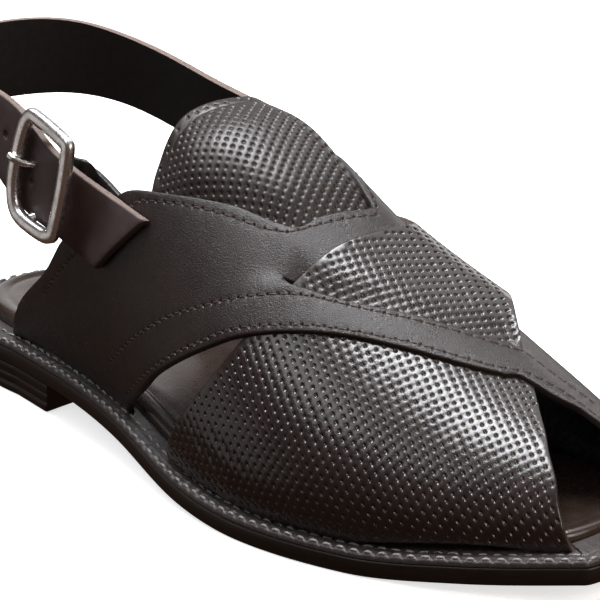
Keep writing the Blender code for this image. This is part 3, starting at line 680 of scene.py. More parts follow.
def sheet(name, loops, spots, place, thick, looks, soft, fill, back_fill=7.0, cut=None):
    """Leather cut to loops in a flat chart, laid in space by place(points, depth), with rounded edges.

    spots are points inside with a depth below the surface, such as pressed dimples.
    """
    count = sum(len(loop) for loop in loops)
    edge = np.concatenate(loops)
    inside, sink = [np.zeros((0, 2))], [np.zeros(0)]
    for share in (0.35, 1.0):
        for k, loop in enumerate(loops):
            ring = loop + inward(loop) * soft * share * (1 if k == 0 else -1)
            ring = ring[within(ring, loops)]
            ring = ring[edge_distance(ring, loops) > 0.93 * soft * share]
            inside.append(ring)
            sink.append(np.zeros(len(ring)))
    if spots is not None:
        points, depth = spots
        keep = within(points, loops)
        points, depth = points[keep], depth[keep]
        keep = edge_distance(points, loops) > soft * 1.25
        inside.append(points[keep])
        sink.append(depth[keep])
    grid = hex_fill(loops, fill, max(fill * 0.45, soft * 1.3))
    if spots is not None:
        grid = clear_of(grid, inside[-1], SPOT_GAP)
    inside.append(grid)
    sink.append(np.zeros(len(grid)))
    front = np.concatenate([edge, *inside])
    depth = np.concatenate([np.zeros(count), *sink])
    part = np.clip(edge_distance(front, loops) / soft, 0, 1)
    part[:count] = 0
    drop = soft * (1 - np.sqrt(1 - (1 - part) ** 2))
    height = thick(front) if callable(thick) else np.full(len(front), thick)
    top = place(front, height - drop - depth)
    faces = triangles(front, loops)
    back = np.concatenate([edge, hex_fill(loops, back_fill, back_fill * 0.4)])
    under = place(back, np.zeros(len(back)))
    back_faces = triangles(back, loops)[:, ::-1] + len(front)
    walls = []
    start = 0
    for loop in loops:
        for i in range(len(loop)):
            a, b = start + i, start + (i + 1) % len(loop)
            walls.append((a, a + len(front), b + len(front), b))
        start += len(loop)
    which = [0] * len(faces) + [1] * len(walls) + [2] * len(back_faces)
    if cut is not None:
        for i, wall in enumerate(walls):
            if cut(front[[wall[0], wall[3]]].mean(0)):
                which[len(faces) + i] = 3
    faces = faces.tolist() + walls + back_faces.tolist()
    return build(name, np.concatenate([top, under]), faces, looks, which)


def edge_line(places, step=1.1):
    """Places (x, girth) as a line in the chart with even steps and both ends kept."""
    line = CHART.flat(*np.array(places, float).T)
    length = np.linalg.norm(np.diff(line, axis=0), axis=1).sum()
    return resample(line, max(2, int(length / step) + 1), False)


def outline(*sides):
    """Closed loop in the chart from lines that follow each other."""
    return np.concatenate([edge_line(side)[:-1] for side in sides])


def side_of(table, name, start, stop, count=240):
    girth = np.linspace(start, stop, count)
    return np.stack([table.at(name, girth), girth], 1)


def across(table, girth, first, second):
    """Straight line at one girth from one edge of a table to another."""
    start, stop = (float(table.at(name, girth)) for name in (first, second))
    return ((start, girth), ((start + stop) / 2, girth), (stop, girth))


def rosettes(centres, radius, depth, seed):
    """Rings of points that press a round dimple at each centre, each a little different."""
    vary = np.random.default_rng(seed)
    points, sinks = [], []
    size = radius * vary.uniform(0.93, 1.07, len(centres))
    deep = depth * vary.uniform(0.85, 1.1, len(centres))
    turn = vary.uniform(0, 6.28, len(centres))
    for share, level, count in DIMPLE_RINGS:
        for k in range(count):
            angle = turn + k * 2 * math.pi / count
            spread = np.stack([np.cos(angle), np.sin(angle)], 1) * (size * share)[:, None]
            points.append(centres + spread)
            sinks.append(deep * level)
    return np.concatenate(points), np.concatenate(sinks)


def lattice(loop, steps, margin, origin, *spread):
    """Points of a slanted lattice inside a loop, widened over the chart."""
    a, b = np.array(steps, float)
    reach = np.arange(-140, 141)
    grid = reach[:, None, None] * a + reach[None, :, None] * b
    grid = origin + widening(grid.reshape(-1, 2), *spread)
    low, high = loop.min(0), loop.max(0)
    grid = grid[((grid > low) & (grid < high)).all(1)]
    grid = grid[within(grid, [loop])]
    return grid[edge_distance(grid, [loop]) > margin]


def widening(grid, rate, step, lean):
    """Lattice whose rows stand farther apart towards the outer side, each row pushed along by the lean."""
    s = (1 - np.exp(-rate * grid[:, 1])) * step / rate
    return np.stack([grid[:, 0] + lean * s, s], 1)


def swept(line, outward, section, closed=False, taper=1.0):
    """Points and faces of a section, given as (aside, out) pairs, carried along a line with tapered ends."""
    along = unit(np.roll(line, -1, 0) - np.roll(line, 1, 0) if closed else np.gradient(line, axis=0))
    aside = unit(np.cross(along, outward))
    up = np.cross(aside, along)
    size = np.ones(len(line))
    size[[0, -1]] = taper
    count = len(section)
    points = [p + (a * s[0] + u * s[1]) * r for p, a, u, r in zip(line, aside, up, size) for s in section]
    faces = []
    for i in range(len(line) if closed else len(line) - 1):
        low, high = i * count, (i + 1) % len(line) * count
        for k in range(count):
            m = (k + 1) % count
            faces.append((low + k, low + m, high + m, high + k))
    if not closed:
        faces += [tuple(range(count))[::-1], tuple((len(line) - 1) * count + k for k in range(count))]
    return points, faces


def joined(*parts):
    points, faces = [], []
    for more, sides in parts:
        faces += [tuple(corner + len(points) for corner in face) for face in sides]
        points += list(more)
    return points, faces


def oval(wide, high, power, count=20):
    turn = np.linspace(0, 2 * math.pi, count, endpoint=False)
    sides = (np.sign(wave) * np.abs(wave) ** (2 / power) for wave in (np.cos(turn), np.sin(turn)))
    return np.stack(list(sides), 1) * (wide, high)


def thread(lines, radius, flat=0.75):
    """Points and faces of short threads, each along a line of points with its outward way."""
    section = oval(radius, radius * flat, 2.0, THREAD_SIDES)
    return joined(*(swept(line, outward, section, taper=THREAD_TAPER) for line, outward in lines))


# A stitch as shares of its length, and its height at each
STITCH_SHARE = np.linspace(-0.5, 0.5, 7)
STITCH_ARCH = np.sqrt(np.clip(1 - (2 * STITCH_SHARE) ** 2, 0, 1))


def stitches(line, place):
    """Lines of stitches along a line in a chart: each rises out of one hole and dips into the next."""
    reach = reach_along(line)
    count = max(1, int(round(reach[-1] / STITCH_PITCH)))
    step = reach[-1] / count
    depth = -STITCH_SINK + (STITCH_SINK + STITCH_LIFT) * STITCH_ARCH
    made = []
    for k in range(count):
        flat = point_at(line, reach, (k + 0.5) * reach[-1] / count + STITCH_SHARE * STITCH_LENGTH)
        low, high = (place(flat, np.full(len(flat), level)) for level in (0.0, 1.0))
        made.append((low + (high - low) * depth[:, None], high - low))
    return made, point_at(line, reach, np.arange(count) * step)


def raised(plan, height, ground):
    """Points at a height over the ground that a rule gives for the plan."""
    return np.column_stack([plan, ground(plan) + height])


def arched(plan):
    return PROFILE.at("z", plan[:, 0])


def level(plan):
    return np.zeros(len(plan))


def ring_faces(count, low, high):
    """Faces between two rings of a mesh that start at the points low and high."""
    return [(low + i, low + (i + 1) % count, high + (i + 1) % count, high + i) for i in range(count)]


def layered(name, loops, looks, ground, bottom, top, fill=6.0):
    """Solid through loops of one count, closed by filled plans; the first look is for the underside."""
    count = len(loops[0])
    points = [np.concatenate(loops)]
    faces, index = [], []
    last = len(looks) - 1
    for k in range(len(loops) - 1):
        faces += ring_faces(count, k * count, (k + 1) * count)
        index += [min(k, last)] * count
    start = len(loops) * count
    for loop, first, height, look in ((loops[0], 0, bottom, 0), (loops[-1], start - count, top, last)):
        plan = loop[:, :2]
        inner = hex_fill([plan], fill, fill * 0.5)
        found = triangles(np.concatenate([plan, inner]), [plan])
        found = np.where(found < count, found + first, found - count + start)
        faces += found.tolist()
        index += [look] * len(found)
        points.append(raised(inner, height, ground))
        start += len(inner)
    return build(name, np.concatenate(points), faces, looks, index)


# Materials

class Nodes:
    """Short forms for the nodes of one procedural material, or of the world."""

    def __init__(self, owner, shader="Principled BSDF"):
        owner.use_nodes = True
        self.owner = owner
        self.tree = owner.node_tree
        self.shader = self.tree.nodes[shader]
        self.coords = self.add("TexCoord").outputs
        self.place = self.coords["Object"]

    def feed(self, node, socket, value):
        """Link an output to a socket, or set the socket to a constant."""
        if isinstance(value, bpy.types.NodeSocket):
            self.tree.links.new(value, node.inputs[socket])
        else:
            node.inputs[socket].default_value = value

    def add(self, kind, **inputs):
        node = self.tree.nodes.new("ShaderNode" + kind)
        for socket, value in inputs.items():
            self.feed(node, socket.replace("_", " "), value)
        return node

    def stretched(self, scale):
        return self.add("Mapping", Scale=scale, Vector=self.place).outputs["Vector"]

    def noise(self, size, detail=3.0, rough=0.55, where=None):
        """Noise whose marks are about size millimetres across."""
        where = where or self.place
        return self.add("TexNoise", Scale=1 / (size * MM), Detail=detail, Roughness=rough,
                        Vector=where).outputs["Fac"]

    def cells(self, size):
        return self.add("TexVoronoi", Scale=1 / (size * MM), Vector=self.place).outputs["Distance"]

    def span(self, value, low, high, start=0.0, stop=1.0):
        return self.add("MapRange", Value=value, From_Min=low, From_Max=high, To_Min=start,
                        To_Max=stop).outputs["Result"]

    def math(self, kind, a, b):
        node = self.add("Math")
        node.operation = kind
        self.feed(node, 0, a)
        self.feed(node, 1, b)
        return node.outputs["Value"]

    def blend(self, share, first, second):
        node = self.add("Mix")
        node.data_type = "RGBA"
        self.feed(node, 0, share)
        for k, colour in ((6, first), (7, second)):
            self.feed(node, k, (*colour, 1) if isinstance(colour, tuple) else colour)
        return node.outputs[2]

    def bump(self, height, depth, strength=1.0, **under):
        return self.add("Bump", Strength=strength, Distance=depth * MM, Height=height,
                        **under).outputs["Normal"]

    def finish(self, colour, roughness, normal, **settings):
        settings.update(Base_Color=colour, Roughness=roughness, Normal=normal)
        for socket, value in settings.items():
            self.feed(self.shader, socket.replace("_", " "), value)
        return self.owner


def new_look(name):
    return Nodes(bpy.data.materials.new(name))


def leather(name, dark, light, rough, grain=0.35, depth=0.05, **settings):
    """Finished leather: pebbled grain with fine pores, uneven dye and slightly uneven shine."""
    made = new_look(name)
    pebbles = made.math("MULTIPLY", made.cells(grain * 1.8), 0.6)
    height = made.math("ADD", pebbles, made.noise(grain, 4.0, 0.6))
    colour = made.blend(made.span(made.noise(9.0, 4.0), 0.3, 0.72), dark, light)
    shine = made.math("ADD", made.noise(5.0, 5.0), made.math("MULTIPLY", made.noise(grain * 1.5), 0.5))
    roughness = made.span(shine, 0.45, 1.05, rough - 0.07, rough + 0.07)
    waves = made.bump(made.noise(7.0, 2.0), 0.12, 0.5)
    return made.finish(colour, roughness, made.bump(height, depth, Normal=waves), **settings)


def fibres(name, dark, light, rough, along=(1, 1, 1), size=0.5, depth=0.06, **settings):
    """Cut leather or thread: fibres drawn out along one way."""
    made = new_look(name)
    streaks = made.noise(size, 5.0, 0.65, made.stretched(along))
    colour = made.blend(made.span(streaks, 0.3, 0.7), dark, light)
    spots = made.noise(2.5, 4.0)
    return made.finish(colour, made.span(spots, 0.3, 0.7, rough - 0.08, rough + 0.08),
                       made.bump(streaks, depth), **settings)


def metal(name, colour, dull, rough):
    made = new_look(name)
    cloud = made.noise(2.2, 5.0, 0.6)
    scratch = made.noise(0.5, 3.0, 0.6, made.stretched((1, 1, 0.15)))
    tint = made.blend(made.span(cloud, 0.42, 0.7), colour, dull)
    worn = made.span(cloud, 0.35, 0.75, rough, rough + 0.2)
    roughness = made.math("ADD", worn, made.span(scratch, 0, 1, 0, 0.06))
    return made.finish(tint, roughness, made.bump(scratch, 0.012), Metallic=1.0)


plain_look = leather("plain_leather", (0.0125, 0.0068, 0.0056), (0.020, 0.0115, 0.0098), 0.31, 0.28, 0.14)
press_look = leather("pressed_leather", (0.0125, 0.0068, 0.0056), (0.019, 0.011, 0.0092), 0.28, 0.45, 0.03,
                     Coat_Weight=0.3, Coat_Roughness=0.2)
tongue_look = leather("tongue_face", (0.014, 0.0078, 0.0068), (0.022, 0.0132, 0.0115), 0.40, 0.45, 0.03,
                      Coat_Weight=0.1, Coat_Roughness=0.25)
strap_look = leather("strap_face", (0.046, 0.028, 0.0265), (0.060, 0.039, 0.037), 0.46, 0.3, 0.03)
seat_look = leather("insole_face", (0.026, 0.0155, 0.012), (0.042, 0.027, 0.022), 0.27, 0.6, 0.02,
                    Coat_Weight=0.35, Coat_Roughness=0.15)
anchor_look = leather("anchor_face", (0.016, 0.0135, 0.013), (0.034, 0.029, 0.028), 0.34, 0.3, 0.08)
lining_look = fibres("lining", (0.005, 0.003, 0.0027), (0.009, 0.0055, 0.005), 0.8, size=0.4, depth=0.08)
inner_look = leather("inner_lining", (0.010, 0.0085, 0.0085), (0.026, 0.022, 0.022), 0.33, 1.4, 0.5)
dark_edge = fibres("dark_edge", (0.006, 0.0035, 0.003), (0.014, 0.0085, 0.007), 0.5, (1, 1, 0.3), 0.4, 0.05)
raw_edge = fibres("raw_edge", (0.10, 0.070, 0.058), (0.27, 0.195, 0.168), 0.75, (0.4, 1, 1), 0.5, 0.08)
cut_edge = fibres("cut_edge", (0.018, 0.0105, 0.009), (0.036, 0.023, 0.020), 0.7, size=0.5, depth=0.08)
press_edge = fibres("pressed_edge", (0.02, 0.012, 0.010), (0.07, 0.046, 0.037), 0.6, (0.4, 1, 1), 0.5, 0.06)
thread_look = fibres("thread", (0.030, 0.0175, 0.014), (0.095, 0.060, 0.048), 0.75, size=0.25, depth=0.06,
                     Specular_IOR_Level=0.15)
welt_look = fibres("welt_face", (0.016, 0.012, 0.0115), (0.085, 0.070, 0.068), 0.40, size=0.6, depth=0.14)
welt_thread_look = fibres("welt_thread", (0.09, 0.08, 0.077), (0.36, 0.345, 0.345), 0.36,
                          size=0.35, depth=0.07)
sole_look = fibres("sole_edge", (0.0065, 0.0032, 0.0018), (0.014, 0.0075, 0.0045), 0.42,
                   (0.12, 0.12, 1.4), 0.9, 0.04)
tread_look = fibres("tread", (0.020, 0.013, 0.010), (0.045, 0.031, 0.024), 0.7, size=1.5, depth=0.08)
chrome_look = metal("chrome", (0.84, 0.83, 0.82), (0.66, 0.65, 0.645), 0.17)


def put(piece, slot, *nodes):
    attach(piece, "root")
    if nodes:
        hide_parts(*nodes)


# Upper: plain straps, dimpled strap and tongue

def plain_place(points, depth):
    girth = CHART.girth_at(points)
    return over_last(points[:, 0], girth, plain_offset(points[:, 0], girth) + depth)


STRAP_FIELD = Field(strap_one_offset, np.arange(100.0, 284.0), np.arange(-1.0, 1.001, 0.005), (3, 6))


def strap_one_place(points, depth):
    girth = CHART.girth_at(points)
    height = STRAP_FIELD.at(points[:, 0], girth) + folds(STRAP_FOLDS, points[:, 0], girth)
    return over_last(points[:, 0], girth, height + depth, STRAP_ONE_FOOT)


TONGUE_FIELD = Field(tongue_top, np.arange(110.0, 196.0), np.arange(-0.60, 0.601, 0.005), (5, 11))


def tongue_place(points, depth):
    girth = CHART.girth_at(points)
    base = TONGUE_FIELD.at(points[:, 0], girth) - tongue_thickness(points[:, 0], girth)
    return over_last(points[:, 0], girth, base + depth)


plain_loop = outline(across(PLAIN, -1, "collar", "front"), side_of(PLAIN, "front", -1, 1),
                     across(PLAIN, 1, "front", "slit_front"), side_of(PLAIN, "slit_front", 1, FAR_FORK),
                     across(PLAIN, FAR_FORK, "slit_front", "slit_back"),
                     side_of(PLAIN, "slit_back", FAR_FORK, 1), across(PLAIN, 1, "slit_back", "collar"),
                     side_of(PLAIN, "collar", 1, -1))
slit_loop = outline(side_of(PLAIN, "slit_back", *SLIT_ENDS),
                    across(PLAIN, SLIT_ENDS[1], "slit_back", "slit_front"),
                    side_of(PLAIN, "slit_front", *SLIT_ENDS[::-1]),
                    across(PLAIN, SLIT_ENDS[0], "slit_front", "slit_back"))
seams = [edge_line(places, 0.5) for places in (BAND_LOW, BAND_HIGH, COLLAR_SEAM)]
threads, holes = [], []
for seam in seams:
    made, found = stitches(seam, lambda flat, depth: plain_place(flat, LEATHER + depth))
    threads += made
    holes.append(found)
holes = np.concatenate(holes)
plain = sheet("plain_straps", [plain_loop, slit_loop], rosettes(holes, STITCH_HOLE, STITCH_HOLE_DEPTH, 3),
              plain_place, LEATHER, [plain_look, dark_edge, inner_look], soft=0.6, fill=2.6)
put(plain, "upper_leather", "upper")
upper_thread = build("upper_stitches", *thread(threads, THREAD), [thread_look])
put(upper_thread, "upper_leather")

strap_loop = outline(across(STRAP_ONE, -1, "back", "front"), side_of(STRAP_ONE, "front", -1, 1),
                     across(STRAP_ONE, 1, "front", "back"), side_of(STRAP_ONE, "back", 1, -1))
strap_centres = lattice(strap_loop, STRAP_LATTICE, 1.0, *STRAP_SPREAD)
# The strap is smooth where the plain strap covers it.
x, girth = strap_centres[:, 0], CHART.girth_at(strap_centres)
hidden = (x > PLAIN.at("slit_front", girth) + 5) & (x < PLAIN.at("front", girth) - 4)
hidden &= (girth > -0.7) & (girth < 0.03)
strap_centres = strap_centres[~hidden]
strap = sheet("strap_one", [strap_loop], rosettes(strap_centres, DIMPLE, DIMPLE_DEPTH, 5), strap_one_place,
              STRAP_ONE_THICK, [press_look, press_edge, inner_look], soft=0.45, fill=2.55)
put(strap, "upper_leather", "upper")

tongue_loop = outline(across(TONGUE, -TONGUE_HALF, "back", "front"),
                      side_of(TONGUE, "front", -TONGUE_HALF, TONGUE_HALF),
                      across(TONGUE, TONGUE_HALF, "front", "back"),
                      side_of(TONGUE, "back", TONGUE_HALF, -TONGUE_HALF))
tongue_centres = lattice(tongue_loop, TONGUE_LATTICE, 1.2, *TONGUE_SPREAD)
girth = CHART.girth_at(tongue_centres)
tongue_centres = tongue_centres[tongue_centres[:, 0] < PLAIN.at("collar", girth) + 4]
border = edge_line(side_of(TONGUE, "back", -0.5, 0.5), 0.8) + (BORDER_IN, 0.0)
away = np.array([np.linalg.norm(border - spot, axis=1).min() for spot in tongue_centres])
points, sinks = rosettes(tongue_centres[away > 0.95], TONGUE_DIMPLE, TONGUE_DIMPLE_DEPTH, 7)
press = (np.concatenate([points, *(border + (shift, 0) for shift, _ in BORDER_LINES)]),
         np.concatenate([sinks, *(np.full(len(border), sink) for _, sink in BORDER_LINES)]))
tongue = sheet("tongue_pad", [tongue_loop], press, tongue_place,
               lambda flat: tongue_thickness(flat[:, 0], CHART.girth_at(flat)),
               [tongue_look, dark_edge, lining_look], soft=0.6, fill=2.5)
put(tongue, "tongue_leather", "tongue")


# Ankle strap, short strap and buckle

def curve_through(points, per_span):
    """Smooth line through the points, with a fixed number of steps in each span."""
    points = np.asarray(points, float)
    reach = reach_along(points)
    line = Table(("reach", "x", "y", "z"), np.column_stack([reach, points]))
    where = np.concatenate([np.linspace(a, b, per_span, endpoint=False) for a, b in zip(reach, reach[1:])])
    where = np.append(where, reach[-1])
    return np.stack([line.at(axis, where) for axis in "xyz"], 1)


def wall_row(row, side, off):
    """Upper, middle and lower point of a strap section that lies on a quarter."""
    places = (row[0], np.mean(row, axis=0), row[1])
    return [on_wall(x, z, side, off) for x, z in places]


class Ribbon:
    """Strap through rows of three points, with a chart of its length and its breadth."""

    def __init__(self, rows, thick):
        self.upper, self.middle, self.lower = (curve_through([row[k] for row in rows], 10) for k in range(3))
        self.reach = reach_along(self.middle)
        self.half = np.linalg.norm(self.upper - self.lower, axis=1) / 2
        self.outward = unit(np.cross(np.gradient(self.middle, axis=0), self.upper - self.lower))
        self.thick = thick

    def place(self, points, depth):
        where, side = points.T
        share = (side / np.interp(where, self.reach, self.half))[:, None]
        upper, middle, lower, outward = (point_at(line, self.reach, where) for line in
                                         (self.upper, self.middle, self.lower, self.outward))
        point = middle + share * (upper - lower) / 2 + share ** 2 * ((upper + lower) / 2 - middle)
        return point + outward * (np.asarray(depth) - self.thick / 2)[:, None]

    def loop(self, step=1.2):
        """Outline in the chart, round the lower edge first."""
        where = np.linspace(0, self.reach[-1], int(self.reach[-1] / step))
        half = np.interp(where, self.reach, self.half)
        front, back = (np.linspace(-half[k], half[k], 22)[1:-1] for k in (-1, 0))
        sides = ((where, -half), (np.full(20, where[-1]), front), (where[::-1], half[::-1]),
                 (np.full(20, where[0]), back[::-1]))
        return np.concatenate([np.stack(side, 1) for side in sides])


def circle(centre, radius, count=14):
    """Small loop that runs against the outline, for a hole."""
    turn = -np.linspace(0, 2 * math.pi, count, endpoint=False)
    return np.array(centre) + radius * np.stack([np.cos(turn), np.sin(turn)], 1)


def buckle_axes():
    along = Vector(BUCKLE_ALONG).normalized()
    crosswise = Vector(BUCKLE_ACROSS)
    crosswise = (crosswise - along * crosswise.dot(along)).normalized()
    return along, crosswise, along.cross(crosswise)


def in_buckle(along, crosswise, out):
    """Point at a place counted from the middle of the buckle."""
    axes = buckle_axes()
    return np.array(Vector(BUCKLE_CENTRE) + axes[0] * along + axes[1] * crosswise + axes[2] * out)


off = LEATHER + ANKLE_CLEAR + ANKLE_THICK / 2
ankle_rows = [wall_row(row, 1, off) for row in ANKLE_FAR_END]
ankle_rows += [(row[0], np.mean(row, axis=0), row[1]) for row in ANKLE]
ankle_rows += [wall_row(row, -1, off) for row in ANKLE_TAIL]
ankle = Ribbon(ankle_rows, ANKLE_THICK)
tail = ankle.reach[-1]
ankle_loops = [ankle.loop(), *(circle((tail - back, side), STRAP_HOLE) for back, side in ANKLE_HOLES)]
ankle_piece = sheet("ankle_strap_leather", ankle_loops, None, ankle.place,
                    ANKLE_THICK, [strap_look, raw_edge, lining_look, cut_edge], soft=0.45, fill=3.0,
                    cut=lambda spot: spot[0] > tail - CUT_END or spot[1] < CUT_SIDE)
put(ankle_piece, "strap_leather", "ankle_strap")

turn = BAR + GAP + ANCHOR_THICK / 2
fold = [(3.0, turn), (1.5, turn)]
fold += [(-turn * math.sin(a), turn * math.cos(a)) for a in np.radians(np.arange(0, 181, 20))]
sides = [side - ANCHOR_DOWN for side in (ANCHOR_WIDTH / 2, 0, -ANCHOR_WIDTH / 2)]
anchor_rows = [[in_buckle(BAR_BACK + along, side, out - BAR_IN) for side in sides] for along, out in fold]
along, up, out = ANCHOR_LEAVES
anchor_rows.append([in_buckle(along, side + up, out - turn - BAR_IN) for side in sides])
below = ANCHOR_CLEAR + ANCHOR_THICK / 2
anchor_rows += [wall_row(row, -1, out - below) for row, out in zip(ANCHOR_END, ANCHOR_OUT)]
anchor = Ribbon(anchor_rows, ANCHOR_THICK)
anchor_piece = sheet("buckle_anchor_leather", [anchor.loop(1.0)], None, anchor.place, ANCHOR_THICK,
                     [anchor_look, anchor_look, anchor_look], soft=0.35, fill=2.0, back_fill=2.0)
put(anchor_piece, "anchor_leather", "buckle_anchor")


def closed_curve(points, per_span):
    """Smooth closed line through the points."""
    points = np.asarray(points, float)
    share = np.linspace(0, 1, per_span, endpoint=False)[:, None]
    spans = []
    for i in range(len(points)):
        a, b, c, d = (points[(i + k) % len(points)] for k in (-1, 0, 1, 2))
        spans.append(0.5 * (2 * b + (c - a) * share + (2 * a - 5 * b + 4 * c - d) * share ** 2
                            + (3 * b - a - 3 * c + d) * share ** 3))
    return np.concatenate(spans)


along_axis, _, out_axis = np.array(buckle_axes())
rim = np.array([in_buckle(a, b, FRAME_OUT) for a, b in resample(closed_curve(FRAME_RIM, 16), 170)])
bar_line = resample(np.array([in_buckle(*spot) for spot in BAR_PLACES]), 60, False)
frame_mesh = joined(swept(rim, out_axis, oval(*FRAME_WIRE), True),
                    swept(bar_line, along_axis, oval(BAR, BAR, 2.0, 14)))
put(build("buckle_frame_metal", *frame_mesh, [chrome_look]), "buckle_metal", "buckle_frame")
prong_line = curve_through([in_buckle(*spot) for spot in PRONG_PLACES], 8)
prong_mesh = swept(prong_line, out_axis, oval(PRONG, PRONG * 0.9, 2.4, 14))
put(build("buckle_prong_metal", *prong_mesh, [chrome_look]), "prong_metal", "buckle_prong")


# Sole: outsole, heel, welt and insole

outsole_loops = [raised(sole_plan(inset, SOLE_POINTS), z, arched) for inset, z in OUTSOLE_LEVELS]
outsole = layered("outsole_leather", outsole_loops, [tread_look, sole_look], arched, 0.0, OUTSOLE_THICK)
put(outsole, "sole_leather", "outsole")

heel_loops = []
for inset, z in HEEL_LEVELS:
    breast = HEEL_BREAST - HEEL_SLOPE * (HEEL_HEIGHT - z)
    heel_loops.append(raised(sole_plan(inset, HEEL_POINTS, breast), z, level))
heel = layered("heel_stack", heel_loops, [tread_look, sole_look], level, 0.0, HEEL_HEIGHT)
put(heel, "heel_leather", "heel")

welt_low, welt_high = OUTSOLE_THICK + GAP, OUTSOLE_THICK + WELT_THICK
rim_plan = sole_plan(0.2, 1600)
rim_length = np.linalg.norm(np.roll(rim_plan, -1, 0) - rim_plan, axis=1).sum()
rim_count = int(round(rim_length / WELT_PITCH))
rim_plan = sole_plan(0.2, rim_count * WELT_STEPS)
rim_in = inward(rim_plan)
phase = np.arange(len(rim_plan)) / WELT_STEPS * 2 * math.pi
breadth = SOLE.at("welt", rim_plan[:, 0])
scallop = 0.5 + 0.5 * np.cos(phase)


def welt_loop(inset, height):
    plan = rim_plan + rim_in * np.broadcast_to(inset, len(rim_plan))[:, None]
    return np.column_stack([plan, arched(rim_plan) + height])


groove = np.exp(-((phase % (2 * math.pi) - math.pi) / 0.5) ** 2)
vary = np.random.default_rng(11)
ripple = vary.normal(0, 1, len(rim_plan))
ripple = (np.roll(ripple, 1) + 2 * ripple + np.roll(ripple, -1)) / 3
welt_loops = [welt_loop(0.0, welt_low), welt_loop(0.0, welt_high - 0.7),
              welt_loop(0.25 + 0.25 * groove, welt_high - 0.2 - 0.35 * groove)]
for inset, height, bulge, dent, rough, shift in WELT_FACE:
    relief = height + bulge * scallop - dent * groove + rough * np.roll(ripple, shift)
    welt_loops.append(welt_loop(inset, welt_high + relief))
welt_loops += [welt_loop(breadth, welt_high), welt_loop(breadth, welt_low)]
count = len(rim_plan)
welt_faces = []
for k in range(len(welt_loops)):
    welt_faces += ring_faces(count, k * count, (k + 1) % len(welt_loops) * count)
welt = build("welt_strip", np.concatenate(welt_loops), welt_faces, [welt_look])
put(welt, "welt_leather", "welt")


def welt_stitches(inset, length, sink, lift, shift, loose):
    """Stitches on the welt at a distance from its rim, no two quite alike."""
    line = np.concatenate([rim_plan, rim_plan[:1]])
    way = np.concatenate([rim_in, rim_in[:1]])
    reach = np.linspace(0, rim_count, len(line))
    up = np.array((0.0, 0.0, 1.0))
    made = []
    for k in range(rim_count):
        aside, slant, longer, higher = vary.uniform(-1, 1, 4) * loose
        where = (k + shift + STITCH_SHARE * (length + 0.5 * longer)) % rim_count
        depth = inset + aside + slant * 2 * STITCH_SHARE
        plan = point_at(line, reach, where) + depth[:, None] * point_at(way, reach, where)
        height = welt_high - sink + (sink + lift + 0.6 * higher) * STITCH_ARCH
        made.append((raised(plan, height, arched), up))
    return made


rim_stitches = welt_stitches(inset=0.95, length=0.60, sink=0.3, lift=0.36, shift=0.0, loose=0.12)
inner_stitches = welt_stitches(inset=5.0, length=0.74, sink=0.45, lift=0.14, shift=0.5, loose=0.25)
welt_mesh = joined(thread(rim_stitches, 0.52, 0.9), thread(inner_stitches, 0.40, 0.9))
put(build("welt_stitches", *welt_mesh, [welt_thread_look]), "welt_leather")


def seat_plan(extra, count):
    """Plan of the insole's edge, which keeps the welt's own breadth along the sole."""
    start, stop = (float(SOLE.at("welt", x)) + extra for x in (HEEL_ROUND, TOE_CORNER))
    x = sole_stations(start, stop)
    plan = round_plan(x, count, SOLE.at("welt", x) + extra, start, stop)
    for _ in range(6):
        plan = (np.roll(plan, 1, 0) + 2 * plan + np.roll(plan, -1, 0)) / 4
    return plan


seat_top = welt_high + INSOLE_RISE
seat_levels = [(GAP, welt_low), (GAP, seat_top - INSOLE_ROLL)]
for step in range(15, 91, 15):
    angle = math.radians(step)
    inset, drop = (INSOLE_ROLL * (1 - wave(angle)) for wave in (math.cos, math.sin))
    seat_levels.append((GAP + inset, seat_top - drop))
seat_levels += [(inset, seat_top - drop) for inset, drop in SEAT_FACE]
seat_levels.append((GAP + 4 * INSOLE_ROLL, seat_top - INSOLE_DISH * 0.7))
seat_loops = [raised(seat_plan(extra, SEAT_POINTS), z, arched) for extra, z in seat_levels]
insole = layered("insole_pad", seat_loops, [seat_look], arched, welt_low, seat_top - INSOLE_DISH)
put(insole, "insole_leather", "insole")


# Floor, light and camera

def aimed(thing, place, target):
    thing.location = place
    thing.rotation_mode = "QUATERNION"
    thing.rotation_quaternion = (Vector(target) - Vector(place)).to_track_quat("-Z", "Y")


def panel(name, place, target, size, power, colour=(1, 1, 1)):
    data = bpy.data.lights.new(name, "AREA")
    data.shape = "RECTANGLE"
    data.size, data.size_y = size
    data.energy = power
    data.color = colour
    made = bpy.data.objects.new(name, data)
    bpy.context.scene.collection.objects.link(made)
    made.visible_camera = False
    aimed(made, place, target)


middle = (0.11, -0.01, 0.04)
panel("overhead_panel", (-0.02, 0.05, 1.05), middle, (0.46, 0.50), 15.5, (0.95, 0.97, 1.0))
panel("crown_panel", (-0.50, -0.20, 0.93), middle, (0.34, 0.40), 2.6, (0.95, 0.97, 1.0))
panel("side_panel", (-0.02, -0.66, 0.82), middle, (0.40, 0.36), 1.5, (0.95, 0.97, 1.0))
panel("inner_panel", (0.10, 0.60, 0.85), middle, (0.70, 0.60), 2.0, (0.97, 0.98, 1.0))
panel("back_panel", (-0.75, 0.78, 0.28), middle, (1.3, 0.8), 2.6)
panel("far_card", (-0.16, 0.92, 0.36), (0.20, 0.03, 0.05), (0.40, 0.35), 0.8)
panel("low_card", (-0.43, -0.58, 0.05), middle, (0.55, 0.40), 0.30)
panel("front_card", (0.85, 0.10, 0.40), (0.24, 0.0, 0.02), (0.5, 0.4), 1.4, (1.0, 0.88, 0.76))
panel("toe_card", (0.42, -0.06, 0.16), (0.20, 0.005, 0.03), (0.12, 0.10), 0.16, (1.0, 0.90, 0.80))

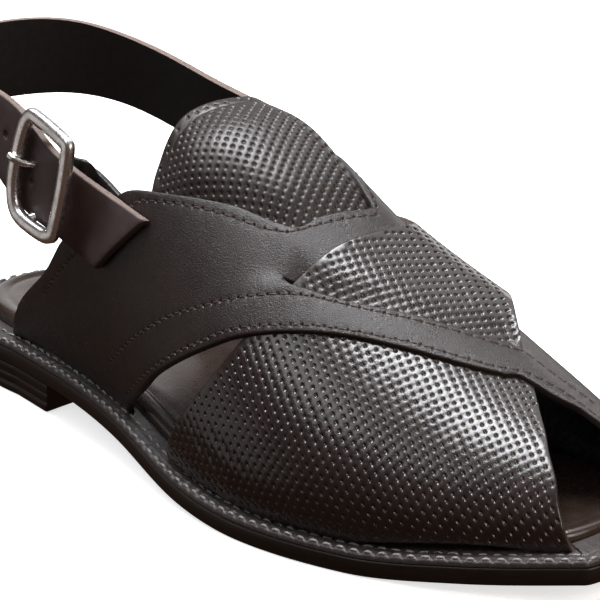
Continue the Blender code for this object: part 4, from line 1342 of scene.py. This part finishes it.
floor_look = new_look("floor")
floor_tint = floor_look.blend(floor_look.noise(120.0), (0.90, 0.90, 0.90), (0.93, 0.93, 0.93))
floor_look.finish(floor_tint, floor_look.span(floor_look.noise(40.0), 0, 1, 0.75, 0.85),
                  floor_look.bump(floor_look.noise(3.0), 0.01), Emission_Color=(1, 1, 1, 1),
                  Emission_Strength=0.7)
floor_mesh = bpy.data.meshes.new("floor")
corners = [(x * FLOOR_HALF, y * FLOOR_HALF, FLOOR_HEIGHT) for x, y in ((-1, -1), (1, -1), (1, 1), (-1, 1))]
floor_mesh.from_pydata(corners, [], [(0, 1, 2, 3)])
floor_mesh.materials.append(floor_look.owner)
floor = bpy.data.objects.new("floor", floor_mesh)
bpy.context.scene.collection.objects.link(floor)
floor.visible_glossy = False
floor.visible_diffuse = False

sky = Nodes(bpy.data.worlds.new("studio"), "Background")
bpy.context.scene.world = sky.owner
height = sky.add("SeparateXYZ", Vector=sky.coords["Generated"]).outputs["Z"]
ramp = sky.add("ValToRGB", Fac=sky.span(height, -1, 1))
for element, position, colour in zip(ramp.color_ramp.elements, (0.48, 1.0), SKY_COLOURS):
    element.position = position
    element.color = colour
camera_ray = sky.add("LightPath").outputs["Is Camera Ray"]
sky.feed(sky.shader, "Color", sky.blend(camera_ray, ramp.outputs["Color"], (1, 1, 1)))

bpy.context.scene.view_settings.view_transform = "Standard"

camera_data = bpy.data.cameras.new("camera")
camera_data.sensor_width = 36.0
camera_data.lens = CAMERA_LENS
camera = bpy.data.objects.new("camera", camera_data)
bpy.context.scene.collection.objects.link(camera)
azimuth, elevation, roll = (math.radians(a) for a in (CAMERA_AZIMUTH, CAMERA_ELEVATION, CAMERA_ROLL))
back = Vector((math.sin(azimuth) * math.cos(elevation), -math.cos(azimuth) * math.cos(elevation),
               math.sin(elevation)))
level = Vector((math.cos(azimuth), math.sin(azimuth), 0))
upright = back.cross(level)
right = level * math.cos(roll) + upright * math.sin(roll)
top_way = upright * math.cos(roll) - level * math.sin(roll)
camera.matrix_world = Matrix.Translation(CAMERA_PLACE) @ Matrix((right, top_way, back)).transposed().to_4x4()
bpy.context.scene.camera = camera

bpy.context.view_layer.update()
